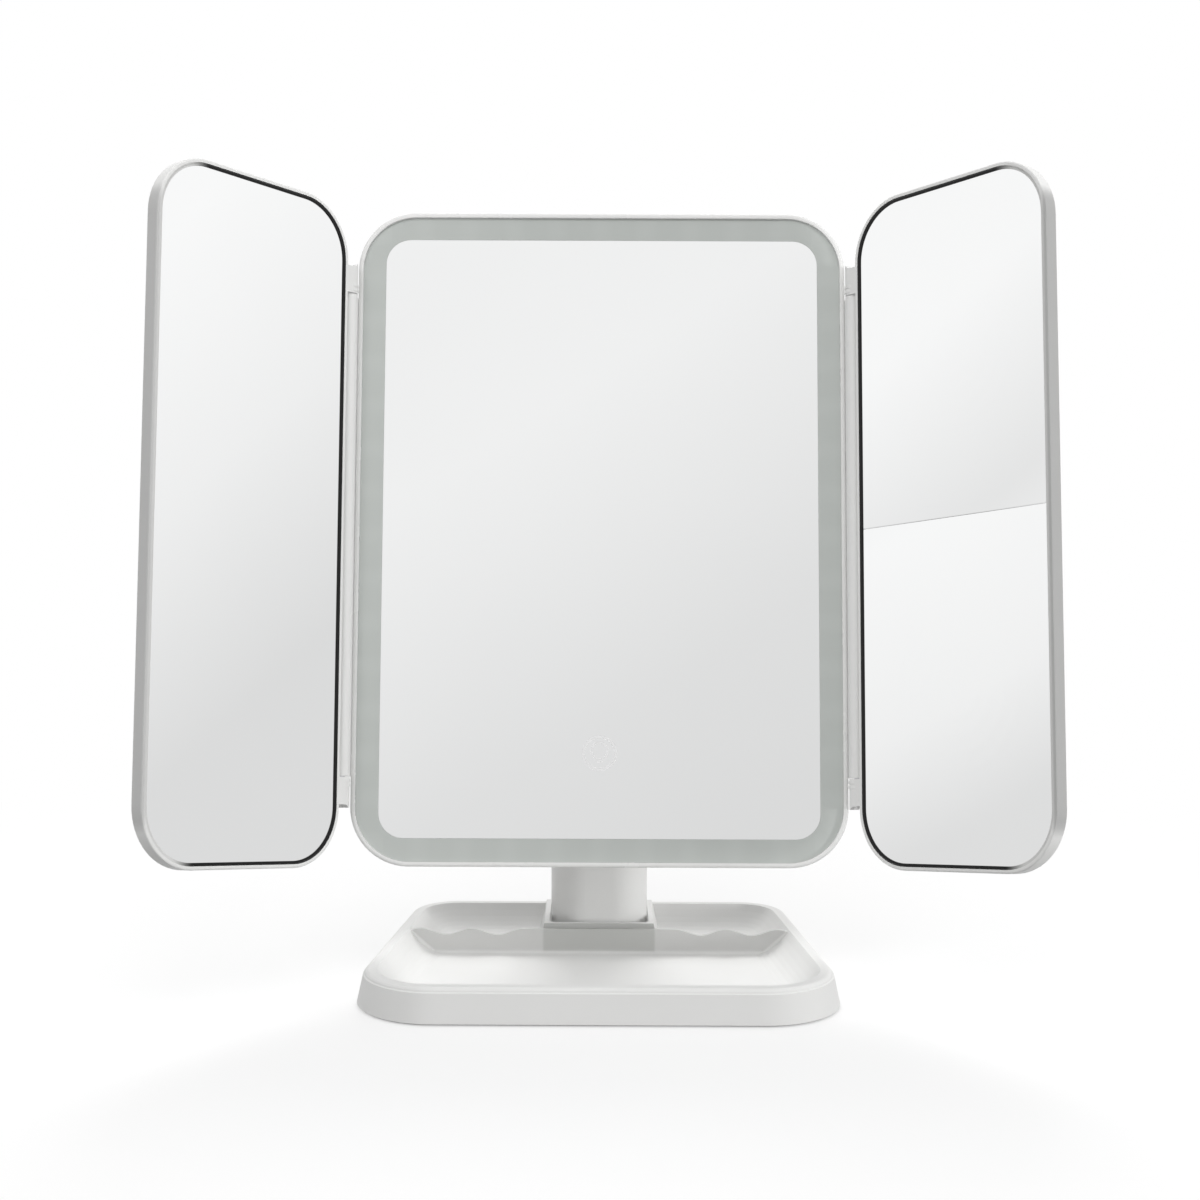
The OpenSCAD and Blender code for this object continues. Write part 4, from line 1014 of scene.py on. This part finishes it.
@dataclass
class Studio:
    """Floor, light and camera. None of it is part of the mirror."""

    eye: Vector = field(default_factory=lambda: Vector((0.8, -727.8, 214.1)) * MM)
    yaw: float = -0.0012
    pitch: float = 0.1060
    roll: float = -0.0040
    lens: float = 61.8
    floor_size: float = 6.0
    fade_start: float = 0.06
    fade_stop: float = 0.42
    fade_least: float = 0.55
    floor_bounce: float = 0.3
    floor_seen: float = 0.93
    beside: tuple[float, float] = (0.4, 0.6)
    room: Sweep = Sweep((0.5, 0.0, 0.0), ((-0.5, 0.25), (-0.3, 0.5), (0.3, 0.5), (0.5, 0.6)), 0.5)
    front_wall: Sweep = Sweep((-0.6, 0.0, 1.0), ((0.15, 0.74), (0.25, 0.78), (0.41, 0.92)))
    right_wall: Sweep = Sweep((0.0, -0.6, 1.0), ((0.0, 0.75), (0.11, 0.91), (0.22, 1.0)))
    left_wall: Sweep = Sweep((0.0, 1.9, 1.0), (
        (0.12, 0.77), (0.17, 0.92), (0.24, 0.99), (0.32, 0.82), (0.41, 0.99)))

    def camera(self) -> None:
        """Sets the camera at the photograph's place."""
        data = bpy.data.cameras.new("camera")
        data.sensor_width = 36.0
        data.lens = self.lens
        data.clip_start = 0.01
        data.clip_end = 50.0
        made = bpy.data.objects.new("camera", data)
        bpy.context.scene.collection.objects.link(made)
        ahead = Vector((math.sin(self.yaw) * math.cos(self.pitch), math.cos(self.yaw) * math.cos(self.pitch),
                        -math.sin(self.pitch)))
        turn = ahead.to_track_quat("-Z", "Y").to_matrix().to_4x4() @ Matrix.Rotation(-self.roll, 4, "Z")
        made.matrix_world = Matrix.Translation(self.eye) @ turn
        bpy.context.scene.camera = made

    def floor(self) -> None:
        """Lays a pale floor that keeps the shadow and fades into the white around it."""
        half = self.floor_size / 2
        mesh = bpy.data.meshes.new("floor")
        mesh.from_pydata([(-half, -half, 0), (half, -half, 0), (half, half, 0), (-half, half, 0)], [],
                         [(0, 1, 2, 3)])
        made = bpy.data.objects.new("floor", mesh)
        bpy.context.scene.collection.objects.link(made)
        made.visible_glossy = False
        material, tree, shader = new_material("PaleFloor")
        mesh.materials.append(material)
        seen = add_node(tree, "ShaderNodeLightPath").outputs["Is Camera Ray"]
        feed(shader, {"Roughness": 0.9, "Specular IOR Level": 0.1, "Base Color": blend(
            tree, seen, rgba((self.floor_bounce,) * 3), rgba((self.floor_seen,) * 3))})
        reach = add_node(tree, "ShaderNodeVectorMath", {0: object_place(tree)}, operation="LENGTH")
        fade = add_node(tree, "ShaderNodeMapRange", {
            "Value": reach.outputs["Value"], "From Min": self.fade_start, "From Max": self.fade_stop,
            "To Min": self.fade_least, "To Max": 1.0}, interpolation_type="SMOOTHSTEP")
        white = add_node(tree, "ShaderNodeEmission", {"Color": rgba((1, 1, 1)), "Strength": 1.0})
        mix = add_node(tree, "ShaderNodeMixShader", {
            "Fac": calc(tree, "MULTIPLY", fade.outputs["Result"], seen),
            1: shader.outputs[0], 2: white.outputs[0]})
        feed(tree.nodes["Material Output"], {"Surface": mix.outputs[0]})

    def surround(self) -> None:
        """Makes the white surround, and the soft grey sweep that the mirrors show."""
        world = bpy.data.worlds.new("surround")
        bpy.context.scene.world = world
        world.use_nodes = True
        tree = world.node_tree
        tree.nodes.clear()
        path = add_node(tree, "ShaderNodeLightPath").outputs
        ray = add_node(tree, "ShaderNodeTexCoord").outputs["Generated"]
        side = split_axes(tree, ray)["X"]
        shown = self.front_wall.build(tree, ray)
        for wall, sense in ((self.right_wall, 1.0), (self.left_wall, -1.0)):
            beside = remap(tree, calc(tree, "MULTIPLY", side, sense), *self.beside)
            shown = blend(tree, beside, shown, wall.build(tree, ray))
        plain, sweep, white = (
            add_node(tree, "ShaderNodeBackground", {"Color": colour, "Strength": 1.0}).outputs[0]
            for colour in (self.room.build(tree, ray), shown, rgba((1, 1, 1))))
        glossy = add_node(tree, "ShaderNodeMixShader", {"Fac": path["Is Glossy Ray"], 1: plain, 2: sweep})
        final = add_node(tree, "ShaderNodeMixShader", {
            "Fac": path["Is Camera Ray"], 1: glossy.outputs[0], 2: white})
        add_node(tree, "ShaderNodeOutputWorld", {"Surface": final.outputs[0]})

    def lamp(self, name: str, place: Colour, size: float, power: float) -> None:
        """Adds a soft lamp that looks at the mirror.

        Args:
            name: the lamp's name.
            place: where it stands, in metres.
            size: side of its square face.
            power: its power in watts.
        """
        data = bpy.data.lights.new(name, "AREA")
        data.size = size
        data.energy = power
        made = bpy.data.objects.new(name, data)
        bpy.context.scene.collection.objects.link(made)
        aim = Vector((0, 0, min(place[2], 0.12))) - Vector(place)
        made.matrix_world = Matrix.Translation(place) @ aim.to_track_quat("-Z", "Y").to_matrix().to_4x4()
        made.visible_glossy = False

    def build(self) -> None:
        """Builds the studio."""
        self.camera()
        self.floor()
        self.surround()
        self.lamp("key", (0.35, -1.2, 1.8), 1.0, 10.0)
        self.lamp("fill", (-0.75, -1.2, 1.3), 0.8, 9.0)
        self.lamp("side", (1.3, -0.5, 0.09), 0.25, 8.0)
        self.lamp("back", (0.1, 1.1, 1.4), 0.8, 16.0)
        bpy.context.scene.view_settings.view_transform = "Standard"


def keep_mirrors_clear(bodies: tuple[str, ...], nodes: tuple[str, ...]) -> None:
    """Keeps the panels and the neck out of the reflections, so that each glass shows the studio alone.

    Args:
        bodies: the CAD bodies whose pieces stay out.
        nodes: the single CAD nodes that stay out.
    """
    pieces = [piece for body in bodies for piece in frame["bodies"][body].children]
    for piece in pieces + [frame["nodes"][node] for node in nodes]:
        piece.visible_glossy = False


def main() -> None:
    logging.basicConfig(level=logging.INFO, format="%(name)s: %(message)s")
    Studio().build()
    panel = PanelFrame.from_joints(frame["joints"])
    finishes = Finishes(panel)
    finishes.build()
    TrayBase(finishes).build()
    Neck(finishes).build()
    CentrePanel(panel, finishes).build()
    BatteryBay(finishes).build()
    for side in Side:
        Wing(side, finishes).build()
    keep_mirrors_clear(("head", "left_wing", "right_wing", "battery_cover", "power_switch"),
                       ("neck_column", "neck_screws", "tilt_bush"))


if __name__ == "__main__":
    main()
